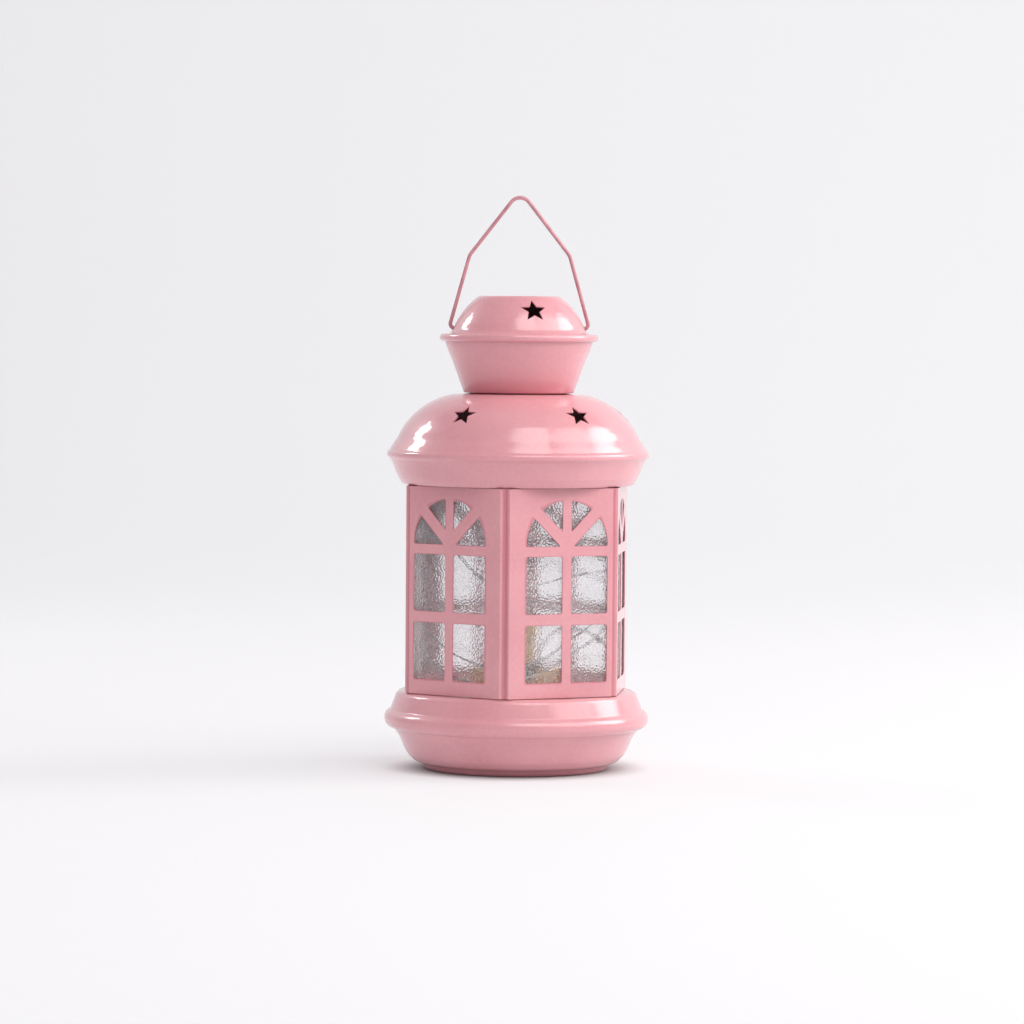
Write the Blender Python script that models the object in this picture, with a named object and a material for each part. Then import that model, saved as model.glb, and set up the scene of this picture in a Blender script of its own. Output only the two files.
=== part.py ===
"""Pressed-tin candle lantern with six arched glass windows, a bail handle and a string of small lights.

Metres, +Z up. The origin is the centre of the foot, on the surface that the lantern stands on.
Plan angles are in degrees from -Y, the front, towards +X: see plan_point().
"""

import math

import bmesh
import bpy
import numpy as np
from mathutils import Matrix, Vector

MM = 0.001

# Driving dimensions, in millimetres
SHEET = 0.6                 # thickness of the turned pressings
WALL_SHEET = 0.5            # thickness of the folded wall sheets
GAP = 0.3                   # clearance between pieces that touch
TURN_STEPS = 36             # facets round a turned pressing

FOOT_RADIUS = 40.4
BASE_BEAD_RADIUS = 58.9     # the widest circle of the lantern
BASE_BEAD_HEIGHT = 22.4
BASE_BEAD_SIZE = 4.3
DECK_HEIGHT = 34.7          # top of the base, where the housing stands

WALL_APOTHEM = 46.8         # centre line to the outside of a wall
WALL_BOTTOM = DECK_HEIGHT + GAP
WALL_TOP = 126.2
FRONT_CORNER = -6.0         # plan angle of the folded corner nearest the front
CORNER_RADIUS = 4.0
GROOVE_WIDTH = 2.6
GROOVE_DEPTH = 1.3

WINDOW_WIDTH = 38.8
WINDOW_BOTTOM = 41.6
PANE_HEIGHT = 25.1
LOW_BAR = 4.9
FAN_BAR = 4.4
FAN_RISE = 19.9
MULLION = 4.3
FAN_SPOKE = 5.2
SEAM_MARGIN = 4.8           # window edge to the seam corner; the folded corner gets the rest

GLASS_THICKNESS = 2.0
GLASS_WIDTH = 48.4
FRAME_INNER = 43.2          # apothem of the opening that the light string passes through
FRAME_CORNER_CUT = 4.4
LUG_APOTHEM = 44.8          # centre line to the middle of the lugs and their slots
LUG_SIZE = (9.0, 0.8, 3.9)
LUG_SLOT = (12.0, 1.8, 6.0)

ROOF_BOTTOM = 126.5
ROOF_BEAD_RADIUS = 58.4
ROOF_BEAD_HEIGHT = 139.8
ROOF_BEAD_SIZE = 2.0
ROOF_ARC = (23.0, 133.3, 33.7)      # centre radius, centre height and radius of the dome's profile
ROOF_TOP = 166.8
ROOF_HOLE = 22.0
STAR_RADIUS = 6.0
STAR_WAIST = 0.43           # inner corner radius over outer
ROOF_STAR_RISE = 47.0       # place along the dome's profile arc
ROOF_STAR_TURNS = (-31.5, 34.5, 88.5, 178.5, 241.5)
CAP_STAR_RISE = 38.2
CAP_STAR_TURNS = (15.0, 135.0, 255.0)

NECK_RADIUS = 24.4
CAP_BEAD_RADIUS = 35.3
CAP_BEAD_HEIGHT = 191.5
CAP_BEAD_SIZE = 1.75
CAP_ARC = (-1.8, 182.85, 33.6)
CAP_TOP = 210.0
CAP_FLAT_RADIUS = 17.6

WIRE_RADIUS = 0.85          # handle wire
PIVOT_HEIGHT = 195.6        # height of the handle's axis, which runs along X
PIVOT_HOLE = 1.5
HANDLE_FOOT = 31.2
HANDLE_HOOK = 24.6
HANDLE_BEND = (22.2, 228.0)
HANDLE_TOP = 256.9          # where the two upper legs would meet if the top had no bend

RIVET_RADIUS = 2.0
CUP_RADIUS = 20.1
CUP_WALL = 0.5
CUP_LOBE_TOP = 45.4
CUP_GAP_TOP = 38.0
CUP_LOBE_TURN = 50.0

BATTERY_PLACE = (-1.2, -2.0)
BATTERY_BOTTOM = 37.2
BATTERY_SPLIT = 46.5        # joint between the end cap and the barrel
BATTERY_TOP = 66.5
END_CAP_RADIUS = 8.6
CELL_RADIUS = 5.8
CELL_HEIGHT = 5.1
CELL_PITCH = 5.5
SWITCH_SIZE = (3.4, 3.0, 1.8)
SWITCH_SLOT = (9.0, 4.0, 1.0)
LEAD_HEIGHT = 41.0
GROMMET_REACH = 1.7         # how far the grommet stands out of the end cap

CORD_DIAMETER = 1.2
CORD_POINTS = 80
LEAD_POINTS = 14            # of the cord's points, those on its lead
SPAN_STEPS = 24             # fine steps on the cord's curve from one route point to the next
LIGHT_COUNT = 10
LIGHT_LENGTH = 5.2
LIGHT_RADIUS = 1.6
FIRST_LIGHT = 15            # the cord's segment that carries the first light

# Route of the light string after its lead: plan angle, distance from the centre line, height
CORD_TURNS = [
    (66, 32, 62.5), (78, 37, 58), (90, 40, 53.5), (112, 42.5, 49), (140, 40, 46), (165, 42, 44.5),
    (188, 41, 46), (212, 40, 50), (236, 42.5, 53), (262, 40.6, 54.5), (284, 41, 51.5), (300, 40.5, 47),
    (316, 39.5, 42.5), (340, 39, 40.2), (362, 38.5, 42), (380, 38, 47), (397, 38.5, 53), (416, 41, 60),
    (438, 40.5, 66), (462, 41.5, 70), (488, 41, 72.5), (515, 41.5, 73), (540, 42, 72), (566, 40.5, 70.5),
    (592, 42, 69), (618, 40.8, 67), (640, 42, 63.5), (656, 40.5, 59.5), (676, 39.5, 53), (700, 39, 48),
    (722, 38.5, 47.5), (740, 38, 52.5), (757, 38.5, 59.5), (775, 41, 67), (797, 40.8, 75),
    (820, 42, 81), (846, 41, 85), (872, 41.5, 88), (898, 42, 90.5), (924, 40.6, 94), (950, 42, 98.5),
    (975, 41, 102.5), (1001, 41.5, 104.5), (1020, 41, 103.5), (1038, 39.5, 97.5), (1054, 39, 88),
    (1074, 39, 82.5), (1096, 39.5, 84.5), (1113, 39.6, 87.5), (1130, 41, 88.6), (1152, 41, 89.5),
    (1176, 41.5, 91.5), (1203, 41, 95),
]
# The lead: from the grommet, up beside the battery holder and over to the wall
CORD_LEAD = [
    (10.2, -2.1, 41.3), (11.0, -3.0, 43.4), (10.3, -5.0, 48.0), (10.3, -7.2, 53.0),
    (13.2, -9.4, 58.6), (19.0, -11.4, 62.8),
]


def plan_point(angle, radius):
    """The plan place at an angle from -Y towards +X."""
    turn = math.radians(angle)
    return np.array([radius * math.sin(turn), -radius * math.cos(turn)])


def clear_scene():
    for item in list(bpy.data.objects):
        bpy.data.objects.remove(item, do_unlink=True)


def material(name, colour, roughness, metallic=0.0, transmission=0.0):
    made = bpy.data.materials.new(name)
    made.use_nodes = True
    shader = made.node_tree.nodes["Principled BSDF"]
    shader.inputs["Base Color"].default_value = (*colour, 1.0)
    shader.inputs["Roughness"].default_value = roughness
    shader.inputs["Metallic"].default_value = metallic
    shader.inputs["Transmission Weight"].default_value = transmission
    return made


def add_object(name, points, faces, surface=None, smooth=True):
    """A mesh object from points in millimetres, with its faces turned outwards."""
    mesh = bpy.data.meshes.new(name)
    mesh.from_pydata([tuple(p) for p in np.asarray(points, float) * MM], [], [list(f) for f in faces])
    shape = bmesh.new()
    shape.from_mesh(mesh)
    bmesh.ops.remove_doubles(shape, verts=shape.verts, dist=0.00001)
    bmesh.ops.recalc_face_normals(shape, faces=shape.faces)
    shape.to_mesh(mesh)
    shape.free()
    if smooth:
        mesh.shade_smooth()
        mesh.set_sharp_from_angle(angle=math.radians(35))
    made = bpy.data.objects.new(name, mesh)
    bpy.context.collection.objects.link(made)
    if surface:
        mesh.materials.append(surface)
    return made


def hide_cutter(made):
    made.hide_render = True
    made.display_type = "WIRE"
    return made


def boolean(target, tool, operation="DIFFERENCE"):
    step = target.modifiers.new(tool.name, "BOOLEAN")
    step.operation = operation
    step.solver = "EXACT"
    step.object = tool


def arc(centre, radius, start, end, steps):
    """Points of a profile arc from one angle to another, both included."""
    turns = np.radians(np.linspace(start, end, steps + 1))
    return [(centre[0] + radius * math.cos(t), centre[1] + radius * math.sin(t)) for t in turns]


def offset_line(line, distance):
    """An open line moved to its left, mitred at its corners."""
    line = np.array(line, float)
    way = np.diff(line, axis=0)
    way /= np.linalg.norm(way, axis=1)[:, None]
    side = np.column_stack([-way[:, 1], way[:, 0]])
    before = np.vstack([side[:1], side])
    after = np.vstack([side, side[-1:]])
    mitre = (before + after) / (1 + (before * after).sum(1))[:, None]
    return line + mitre * distance


def pressed(profile, thickness=SHEET):
    """The closed outline of a sheet whose outer side is the profile."""
    return np.vstack([profile, offset_line(profile, thickness)[::-1]])


def turned(outline, steps=TURN_STEPS, start=0.0):
    """Points and faces of a closed (radius, height) outline turned about Z."""
    outline = np.asarray(outline, float)
    turns = math.radians(start) + 2 * math.pi * np.arange(steps) / steps
    points = np.stack(
        [
            outline[:, None, 0] * np.cos(turns),
            outline[:, None, 0] * np.sin(turns),
            np.repeat(outline[:, None, 1], steps, axis=1),
        ],
        axis=2,
    ).reshape(-1, 3)
    count = len(outline)
    faces = []
    for i in range(count):
        after = (i + 1) % count
        for j in range(steps):
            beside = (j + 1) % steps
            faces.append(
                (i * steps + j, i * steps + beside, after * steps + beside, after * steps + j)
            )
    return points, faces


def block(size, centre):
    """Points and faces of a box."""
    corners = [(x, y, z) for x in (-0.5, 0.5) for y in (-0.5, 0.5) for z in (-0.5, 0.5)]
    points = np.array(corners) * size + centre
    faces = [(0, 1, 3, 2), (4, 6, 7, 5), (0, 4, 5, 1), (2, 3, 7, 6), (0, 2, 6, 4), (1, 5, 7, 3)]
    return points, faces


def turn_points(points, angle):
    """Points moved from the front, -Y, to a plan angle."""
    spin = np.array(Matrix.Rotation(math.radians(angle), 3, "Z"))
    return np.asarray(points, float) @ spin.T


def join_shapes(shapes):
    """Several points-and-faces shapes as one."""
    points, faces, start = [], [], 0
    for some_points, some_faces in shapes:
        points.append(some_points)
        faces += [[start + i for i in face] for face in some_faces]
        start += len(some_points)
    return np.vstack(points), faces


def star_cutters(name, profile_arc, rise, angles):
    """One cutter for all the star holes of a dome: prisms 10 mm long along the dome's outward direction."""
    reach = 5.0
    out = np.array([math.cos(math.radians(rise)), math.sin(math.radians(rise))])
    along = np.array([-out[1], out[0]])
    centre = np.array(profile_arc[:2]) + out * profile_arc[2]
    tips = []
    for k in range(10):
        turn = math.radians(36 * k)
        radius = STAR_RADIUS * (1 if k % 2 == 0 else STAR_WAIST)
        tips.append((radius * math.sin(turn), radius * math.cos(turn)))
    shapes = []
    for angle in angles:
        points = []
        for side in (-reach, reach):
            for across, up in tips:
                radius, height = centre + out * side + along * up
                points.append((across, -radius, height))
        faces = [tuple(range(9, -1, -1)), tuple(range(10, 20))]
        faces += [(k, (k + 1) % 10, 10 + (k + 1) % 10, 10 + k) for k in range(10)]
        shapes.append((turn_points(points, angle), faces))
    return hide_cutter(add_object(name, *join_shapes(shapes), smooth=False))


def lug_angles():
    """The three walls that carry a locating lug."""
    return [FRONT_CORNER + 30 + 120 * k for k in range(3)]


def make_base_bowl(enamel):
    profile = [(0, 1.6), (36.0, 1.6), (37.2, 0), (FOOT_RADIUS, 0), (41.2, 0.9), (41.4, 2.4), (43.2, 2.8)]
    profile += [(45.6, 3.7), (48.2, 6.2), (50.1, 9.6), (52.2, 14.7), (54.1, 17.3)]
    profile += [(54.8, 18.8), (54.8, 21.6)]
    add_object("base_bowl", *turned(pressed(profile)), enamel)


def make_base_deck(enamel):
    bead = (BASE_BEAD_RADIUS - BASE_BEAD_SIZE, BASE_BEAD_HEIGHT)
    profile = arc(bead, BASE_BEAD_SIZE, -78, 70, 6)
    profile += [(55.1, 29.2)]
    profile += arc((51.0, DECK_HEIGHT - 3), 3.0, 10, 90, 3)
    profile += [(RIVET_RADIUS + GAP, DECK_HEIGHT)]
    deck = add_object("base_deck", *turned(pressed(profile)), enamel)
    slots = []
    for angle in lug_angles():
        points, faces = block(LUG_SLOT, (0, -LUG_APOTHEM, DECK_HEIGHT))
        slots.append((turn_points(points, angle), faces))
    boolean(deck, hide_cutter(add_object("lug_slot_cutter", *join_shapes(slots), smooth=False)))


def make_candle_cup(brass):
    """A dish for one tealight, its wall cut down to three lobes."""
    bottom = DECK_HEIGHT + GAP
    floor = bottom + CUP_WALL
    hole = RIVET_RADIUS + GAP
    outline = [(hole, bottom), (CUP_RADIUS - 0.6, bottom), (CUP_RADIUS, bottom + 0.6)]
    outline += [(CUP_RADIUS, CUP_LOBE_TOP), (CUP_RADIUS - CUP_WALL, CUP_LOBE_TOP)]
    outline += [(CUP_RADIUS - CUP_WALL, floor + 0.4), (CUP_RADIUS - CUP_WALL - 0.5, floor), (hole, floor)]
    points, faces = turned(outline)
    angle = np.arctan2(points[:, 0], -points[:, 1]) - math.radians(CUP_LOBE_TURN)
    lobe = np.clip(0.5 + 0.85 * np.cos(3 * angle), 0, 1)
    height = CUP_GAP_TOP + (CUP_LOBE_TOP - CUP_GAP_TOP) * lobe
    rim = points[:, 2] > CUP_LOBE_TOP - 0.01
    points[rim, 2] = height[rim]
    add_object("candle_cup", points, faces, brass)
    head = floor + GAP
    under = DECK_HEIGHT - SHEET - GAP
    rivet = [(0, under - 0.8), (3.4, under - 0.8), (3.6, under), (RIVET_RADIUS, under)]
    rivet += [(RIVET_RADIUS, head), (3.8, head), (3.2, head + 0.7), (0, head + 1.0)]
    add_object("cup_rivet", *turned(rivet, 16), brass)


def corner_points(angle, part):
    """The plan line round a wall corner: rounded, with a pressed V groove on the corner line.

    part is "first" for the half before the groove, "second" for the half after it, or "both"."""
    sharp = WALL_APOTHEM / math.cos(math.radians(30))
    centre = sharp - CORNER_RADIUS / math.cos(math.radians(30))
    line = []
    for turn in np.radians([-30, -24]):
        line.append((CORNER_RADIUS * math.sin(turn), centre + CORNER_RADIUS * math.cos(turn)))
    crest = centre + math.sqrt(CORNER_RADIUS**2 - (GROOVE_WIDTH / 2) ** 2)
    line.append((-GROOVE_WIDTH / 2, crest))
    middle = (0.0, crest - GROOVE_DEPTH)
    if part == "both":
        line = line + [middle] + [(-x, r) for x, r in reversed(line)]
    else:
        line.append((-GAP / 2, middle[1] + GROOVE_DEPTH * GAP / GROOVE_WIDTH))
        if part == "second":
            line = [(-x, r) for x, r in reversed(line)]
    return turn_points([(x, -r, 0) for x, r in line], angle)[:, :2]


def window_holes(centre):
    """The outlines of one window's panes: four rectangles and the four parts of a fan light."""
    half, bar = WINDOW_WIDTH / 2, MULLION / 2
    holes = []
    rows = [WINDOW_BOTTOM, WINDOW_BOTTOM + PANE_HEIGHT + LOW_BAR]
    for low in rows:
        holes.append([(bar, low), (half, low), (half, low + PANE_HEIGHT), (bar, low + PANE_HEIGHT)])
    sill = rows[1] + PANE_HEIGHT + FAN_BAR
    hub = sill + FAN_RISE - half
    spoke = FAN_SPOKE / 2 * math.sqrt(2)
    rim_turn = math.degrees(math.asin(FAN_SPOKE / 2 / half))
    start = math.degrees(math.asin((sill - hub) / half))
    end = math.degrees(math.acos(bar / half))
    holes.append([(spoke + sill - hub, sill)] + arc((0, hub), half, start, 45 - rim_turn, 5))
    holes.append([(bar, hub + bar + spoke)] + arc((0, hub), half, 45 + rim_turn, end, 4))
    both = holes + [[(-x, z) for x, z in reversed(hole)] for hole in holes]
    return [[(centre + x, z) for x, z in hole] for hole in both]


def filled(outline, holes):
    """Triangles that fill an outline around its holes."""
    flat = bmesh.new()
    for loop in [outline, *holes]:
        ring = [flat.verts.new((x, z, 0)) for x, z in loop]
        for a, b in zip(ring, ring[1:] + ring[:1]):
            flat.edges.new((a, b))
    bmesh.ops.triangle_fill(flat, use_beauty=True, edges=flat.edges[:], normal=(0, 0, 1))
    flat.verts.index_update()
    points = np.array([v.co[:2] for v in flat.verts])
    triangles = [[v.index for v in face.verts] for face in flat.faces]
    flat.free()
    return points, triangles


def make_wall_sheet(name, angle, enamel):
    """One tin sheet that makes two walls: folded at its middle corner and cut with two windows."""
    first = corner_points(angle - 60, "second")
    fold = corner_points(angle, "both")
    last = corner_points(angle + 60, "first")
    outer = np.vstack([first, fold, last])
    inner = offset_line(outer, WALL_SHEET)
    flats = {len(first) - 1: 1, len(first) + len(fold) - 1: -1}
    points, faces, rims = [], [], []

    def both_skins(places, heights, skin_faces):
        start = len(points)
        count = len(heights)
        for layer in (0, 1):
            for place, height in zip(places, heights):
                points.append((*place[layer], height))
        for face in skin_faces:
            faces.append([start + i for i in face])
            faces.append([start + count + i for i in reversed(face)])
        return start, count

    for k in range(len(outer) - 1):
        left = (outer[k], inner[k])
        right = (outer[k + 1], inner[k + 1])
        if k not in flats:
            heights = [WALL_BOTTOM, WALL_BOTTOM, WALL_TOP, WALL_TOP]
            start, count = both_skins([left, right, right, left], heights, [(0, 1, 2, 3)])
            rims += [[(start, start + 1), count], [(start + 2, start + 3), count]]
            if k == 0:
                rims.append([(start + 3, start), count])
            if k == len(outer) - 2:
                rims.append([(start + 1, start + 2), count])
            continue
        width = float(np.linalg.norm(outer[k + 1] - outer[k]))
        side = WALL_APOTHEM / math.cos(math.radians(30))
        margin = SEAM_MARGIN + WINDOW_WIDTH / 2 - (side - width) / 2
        centre = margin if flats[k] == 1 else width - margin
        outline = [(0, WALL_BOTTOM), (width, WALL_BOTTOM), (width, WALL_TOP), (0, WALL_TOP)]
        holes = window_holes(centre)
        flat, triangles = filled(outline, holes)
        along = (outer[k + 1] - outer[k]) / width
        inward = np.array([-along[1], along[0]]) * WALL_SHEET
        places = []
        for x, _ in flat:
            if x < 0.01:
                places.append(left)
            elif x > width - 0.01:
                places.append(right)
            else:
                out = outer[k] + along * x
                places.append((out, out + inward))
        start, count = both_skins(places, flat[:, 1], triangles)
        ring_start = start
        for loop in [outline, *holes]:
            for i in range(len(loop)):
                a, b = ring_start + i, ring_start + (i + 1) % len(loop)
                x_a, x_b = flat[a - start, 0], flat[b - start, 0]
                if not (loop is outline and abs(x_a - x_b) < 0.01):
                    rims.append([(a, b), count])
            ring_start += len(loop)
    for (a, b), count in rims:
        faces.append([a, a + count, b + count, b])
    add_object(name, points, faces, enamel)


def make_walls(enamel):
    for k, name in enumerate(["wall_front", "wall_right", "wall_left"]):
        make_wall_sheet(name, FRONT_CORNER + 120 * k, enamel)


def make_glass(glass):
    """Six panes behind the walls, held between the sill frame and the head frame."""
    outside = WALL_APOTHEM - WALL_SHEET - GAP
    low, high = WALL_BOTTOM + 1.1, WALL_TOP - 1.4
    for k in range(6):
        size = (GLASS_WIDTH, GLASS_THICKNESS, high - low)
        points, faces = block(size, (0, GLASS_THICKNESS / 2 - outside, (low + high) / 2))
        points = turn_points(points, FRONT_CORNER + 30 + 60 * k)
        add_object(f"glass_pane_{k + 1}", points, faces, glass, smooth=False)


def hexagon_ring(outline):
    """A closed (apothem, height) outline carried round the walls' hexagon, its corners cut off."""
    points, faces = turned(outline, 12)
    for i, (apothem, height) in enumerate(outline):
        half = apothem * math.tan(math.radians(30)) - FRAME_CORNER_CUT
        for j in range(12):
            side = (half if j % 2 else -half, -apothem, height)
            points[12 * i + j] = turn_points([side], FRONT_CORNER + 30 + 60 * (j // 2))[0]
    return points, faces


def make_frames(enamel):
    """Two angle-section hexagons inside the walls that carry and hold the panes."""
    wide = WALL_APOTHEM - WALL_SHEET - GAP - 0.1
    lip = FRAME_INNER + 0.5
    low = WALL_BOTTOM
    sill = [(FRAME_INNER, low), (wide, low), (wide, low + 0.8), (lip, low + 0.8), (lip, low + 4.0)]
    sill += [(FRAME_INNER, low + 4.0)]
    frame = add_object("sill_frame", *hexagon_ring(sill), enamel, smooth=False)
    lugs = []
    for angle in lug_angles():
        points, faces = block(LUG_SIZE, (0, -LUG_APOTHEM, low - 1.4))
        lugs.append((turn_points(points, angle), faces))
    boolean(frame, hide_cutter(add_object("lug_shapes", *join_shapes(lugs), smooth=False)), "UNION")
    high = WALL_TOP - 0.3
    head = [(FRAME_INNER, high - 3.9), (lip, high - 3.9), (lip, high - 0.8), (wide, high - 0.8)]
    head += [(wide, high), (FRAME_INNER, high)]
    add_object("head_frame", *hexagon_ring(head), enamel, smooth=False)


def make_roof(enamel):
    """Skirt, bead and dome in one pressing, punched with five stars."""
    bead = (ROOF_BEAD_RADIUS - ROOF_BEAD_SIZE, ROOF_BEAD_HEIGHT)
    profile = [(49.6, ROOF_BOTTOM), (51.3, ROOF_BOTTOM), (52.0, ROOF_BOTTOM + 0.8), (53.6, 130.0)]
    profile += [(55.6, 135.3)]
    profile += arc(bead, ROOF_BEAD_SIZE, -70, 66, 4)
    profile += [(55.9, 143.9)]
    profile += arc(ROOF_ARC[:2], ROOF_ARC[2], 24, 80, 6)
    profile += [(ROOF_HOLE, ROOF_TOP)]
    roof = add_object("roof_dome", *turned(pressed(profile)), enamel)
    boolean(roof, star_cutters("roof_star_cutter", ROOF_ARC, ROOF_STAR_RISE, ROOF_STAR_TURNS))


def make_chimney(enamel):
    bottom = ROOF_TOP + GAP
    profile = [(22.6, bottom), (NECK_RADIUS, bottom), (29.7, 181.6), (32.0, 187.0), (32.8, 189.2)]
    profile += [(33.0, 191.2)]
    add_object("chimney_cone", *turned(pressed(profile)), enamel)


def make_cap(enamel):
    """The cap's dome with its rolled rim, three stars and the two holes for the handle."""
    bead = (CAP_BEAD_RADIUS - CAP_BEAD_SIZE, CAP_BEAD_HEIGHT)
    profile = arc(bead, CAP_BEAD_SIZE, -76, 100, 5)
    profile += [(31.0, 193.5)]
    profile += arc(CAP_ARC[:2], CAP_ARC[2], 21, 52, 4)
    profile += [(CAP_FLAT_RADIUS, CAP_TOP), (0, CAP_TOP)]
    cap = add_object("cap_dome", *turned(pressed(profile)), enamel)
    boolean(cap, star_cutters("cap_star_cutter", CAP_ARC, CAP_STAR_RISE, CAP_STAR_TURNS))
    points, faces = turned([(0, -40), (PIVOT_HOLE, -40), (PIVOT_HOLE, 40), (0, 40)], 16)
    points = points[:, [2, 0, 1]] + (0, 0, PIVOT_HEIGHT)
    boolean(cap, hide_cutter(add_object("pivot_hole_cutter", points, faces, smooth=False)))


def rounded(corners, radii, step=22.5):
    """A line through corners in one plane, each rounded by an arc that is tangent to both sides."""
    corners = [np.array(c, float) for c in corners]
    line = [corners[0]]
    for before, corner, after, radius in zip(corners, corners[1:], corners[2:], radii):
        into = (corner - before) / np.linalg.norm(corner - before)
        out = (after - corner) / np.linalg.norm(after - corner)
        turn = math.acos(max(-1.0, min(1.0, float(into @ out))))
        reach = radius * math.tan(turn / 2)
        start = corner - into * reach
        inward = (out - into * float(into @ out)) / math.sin(turn)
        count = max(2, math.ceil(math.degrees(turn) / step))
        for k in range(count + 1):
            t = turn * k / count
            line.append(start + radius * (into * math.sin(t) + inward * (1 - math.cos(t))))
    return line + [corners[-1]]


def add_wire(name, line, radius, surface, origin=(0, 0, 0)):
    """A round wire along a line in millimetres, with closed ends and its origin where asked."""
    curve = bpy.data.curves.new(name, "CURVE")
    curve.dimensions = "3D"
    curve.bevel_depth = radius * MM
    curve.bevel_resolution = 2
    curve.use_fill_caps = True
    spline = curve.splines.new("POLY")
    spline.points.add(len(line) - 1)
    for knot, place in zip(spline.points, line):
        knot.co = (*((np.array(place) - origin) * MM), 1.0)
    curve.materials.append(surface)
    made = bpy.data.objects.new(name, curve)
    made.location = np.array(origin) * MM
    bpy.context.collection.objects.link(made)
    return made


def make_handle(enamel):
    """A wire bail: hooked through the cap's holes, two straight legs, and a rounded peak."""
    foot = (HANDLE_FOOT, 0, PIVOT_HEIGHT)
    hook = (HANDLE_HOOK, 0, PIVOT_HEIGHT)
    bend = (HANDLE_BEND[0], 0, HANDLE_BEND[1])
    tip = (HANDLE_HOOK - 0.6, 0, PIVOT_HEIGHT + 3.6)
    half = [tip, hook, foot, bend]
    other = [(-x, y, z) for x, y, z in reversed(half)]
    line = rounded(half + [(0, 0, HANDLE_TOP)] + other, [1.6, 2.0, 6.0, 5.0, 6.0, 2.0, 1.6])
    add_wire("handle", line, WIRE_RADIUS, enamel, origin=(0, 0, PIVOT_HEIGHT))


def make_battery_holder(cork, dark, white, steel):
    """An upright barrel for three button cells, with an end cap, a slide switch and a lead grommet."""
    place = np.array([*BATTERY_PLACE, 0.0])
    barrel = [(6.6, BATTERY_SPLIT + GAP), (9.1, BATTERY_SPLIT + GAP), (9.7, 58.0), (9.7, 64.6)]
    barrel += [(9.2, 65.9), (8.2, BATTERY_TOP), (0, BATTERY_TOP), (0, 64.9), (6.6, 64.9)]
    points, faces = turned(barrel, 24)
    shell = add_object("battery_barrel", points + place, faces, cork)
    slot = block((*SWITCH_SLOT[:2], 2 * SWITCH_SLOT[2]), place + (0, 0, BATTERY_TOP))
    boolean(shell, hide_cutter(add_object("switch_slot_cutter", *slot, smooth=False)))
    floor = BATTERY_TOP - SWITCH_SLOT[2] + GAP
    start = GAP + SWITCH_SIZE[0] / 2 - SWITCH_SLOT[0] / 2
    knob = block(SWITCH_SIZE, (0, 0, SWITCH_SIZE[2] / 2))
    switch = add_object("power_switch", *knob, white, smooth=False)
    switch.location = Vector((place[0] + start, place[1], floor)) * MM

    cap = [(0, BATTERY_BOTTOM), (END_CAP_RADIUS - 0.7, BATTERY_BOTTOM)]
    cap += [(END_CAP_RADIUS, BATTERY_BOTTOM + 0.8), (END_CAP_RADIUS, BATTERY_SPLIT), (0, BATTERY_SPLIT)]
    points, faces = turned(cap, 24)
    end_cap = add_object("battery_cap", points + place, faces, dark)
    lead = place + (0, 0, LEAD_HEIGHT)
    points, faces = turned([(0, 5), (1.3, 5), (1.3, 12), (0, 12)], 12)
    hole = add_object("lead_hole_cutter", points[:, [2, 0, 1]] + lead, faces, smooth=False)
    boolean(end_cap, hide_cutter(hole))
    reach = END_CAP_RADIUS + GROMMET_REACH
    grommet = [(0, 6.6), (1.0, 6.6), (1.0, 8.9), (1.7, 8.9), (1.7, 9.5), (0.9, reach), (0, reach)]
    points, faces = turned(grommet, 12)
    add_object("lead_grommet", points[:, [2, 0, 1]] + lead, faces, dark)

    for k in range(3):
        low = BATTERY_SPLIT + GAP + 0.5 + CELL_PITCH * k
        top = low + CELL_HEIGHT
        cell = [(0, low), (4.8, low), (CELL_RADIUS, low + 0.6), (CELL_RADIUS, top), (0, top)]
        points, faces = turned(cell, 16)
        add_object(f"button_cell_{k + 1}", points + place, faces, steel)


def cord_line():
    """Points of the light string, evenly spaced on its lead and on its turns, read from a smooth curve."""
    exit_reach = END_CAP_RADIUS + GROMMET_REACH + GAP
    start = np.array([BATTERY_PLACE[0] + exit_reach, BATTERY_PLACE[1], LEAD_HEIGHT])
    route = [start] + [np.array(p, float) for p in CORD_LEAD]
    route += [np.array([*plan_point(angle, radius), height]) for angle, radius, height in CORD_TURNS]
    knots = np.array([2 * route[0] - route[1], *route, 2 * route[-1] - route[-2]])
    fine = []
    for a, b, c, d in zip(knots, knots[1:], knots[2:], knots[3:]):
        slope = c - a
        bend = 2 * a - 5 * b + 4 * c - d
        twist = 3 * b - a - 3 * c + d
        for t in np.linspace(0, 1, SPAN_STEPS, endpoint=False):
            fine.append(0.5 * (2 * b + slope * t + bend * t**2 + twist * t**3))
    fine = np.array([*fine, route[-1]])
    run = np.concatenate([[0], np.cumsum(np.linalg.norm(np.diff(fine, axis=0), axis=1))])
    lead_end = float(run[SPAN_STEPS * len(CORD_LEAD)])
    lead = np.linspace(0, lead_end, LEAD_POINTS, endpoint=False)
    turns = np.linspace(lead_end, run[-1], CORD_POINTS - LEAD_POINTS)
    places = np.concatenate([lead, turns])
    return np.column_stack([np.interp(places, run, fine[:, k]) for k in range(3)])


def make_light_string(silver, clear):
    """A fine twin wire in loose turns against the glass, with a clear light every 91 mm."""
    line = cord_line()
    add_wire("light_cord", line, CORD_DIAMETER / 2, silver)
    half = LIGHT_LENGTH / 2
    bead = [(0.95, -half), (LIGHT_RADIUS, -half + 1.4), (LIGHT_RADIUS, half - 1.4), (0.95, half)]
    step = (CORD_POINTS - 2 - FIRST_LIGHT) // (LIGHT_COUNT - 1)
    for k in range(LIGHT_COUNT):
        i = FIRST_LIGHT + step * k
        points, faces = turned(bead, 8)
        made = add_object(f"light_{k + 1:02d}", points, faces, clear)
        along = Vector(line[i + 1] - line[i]).normalized()
        made.rotation_euler = along.to_track_quat("Z", "Y").to_euler()
        made.location = Vector((line[i] + line[i + 1]) / 2) * MM


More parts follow.
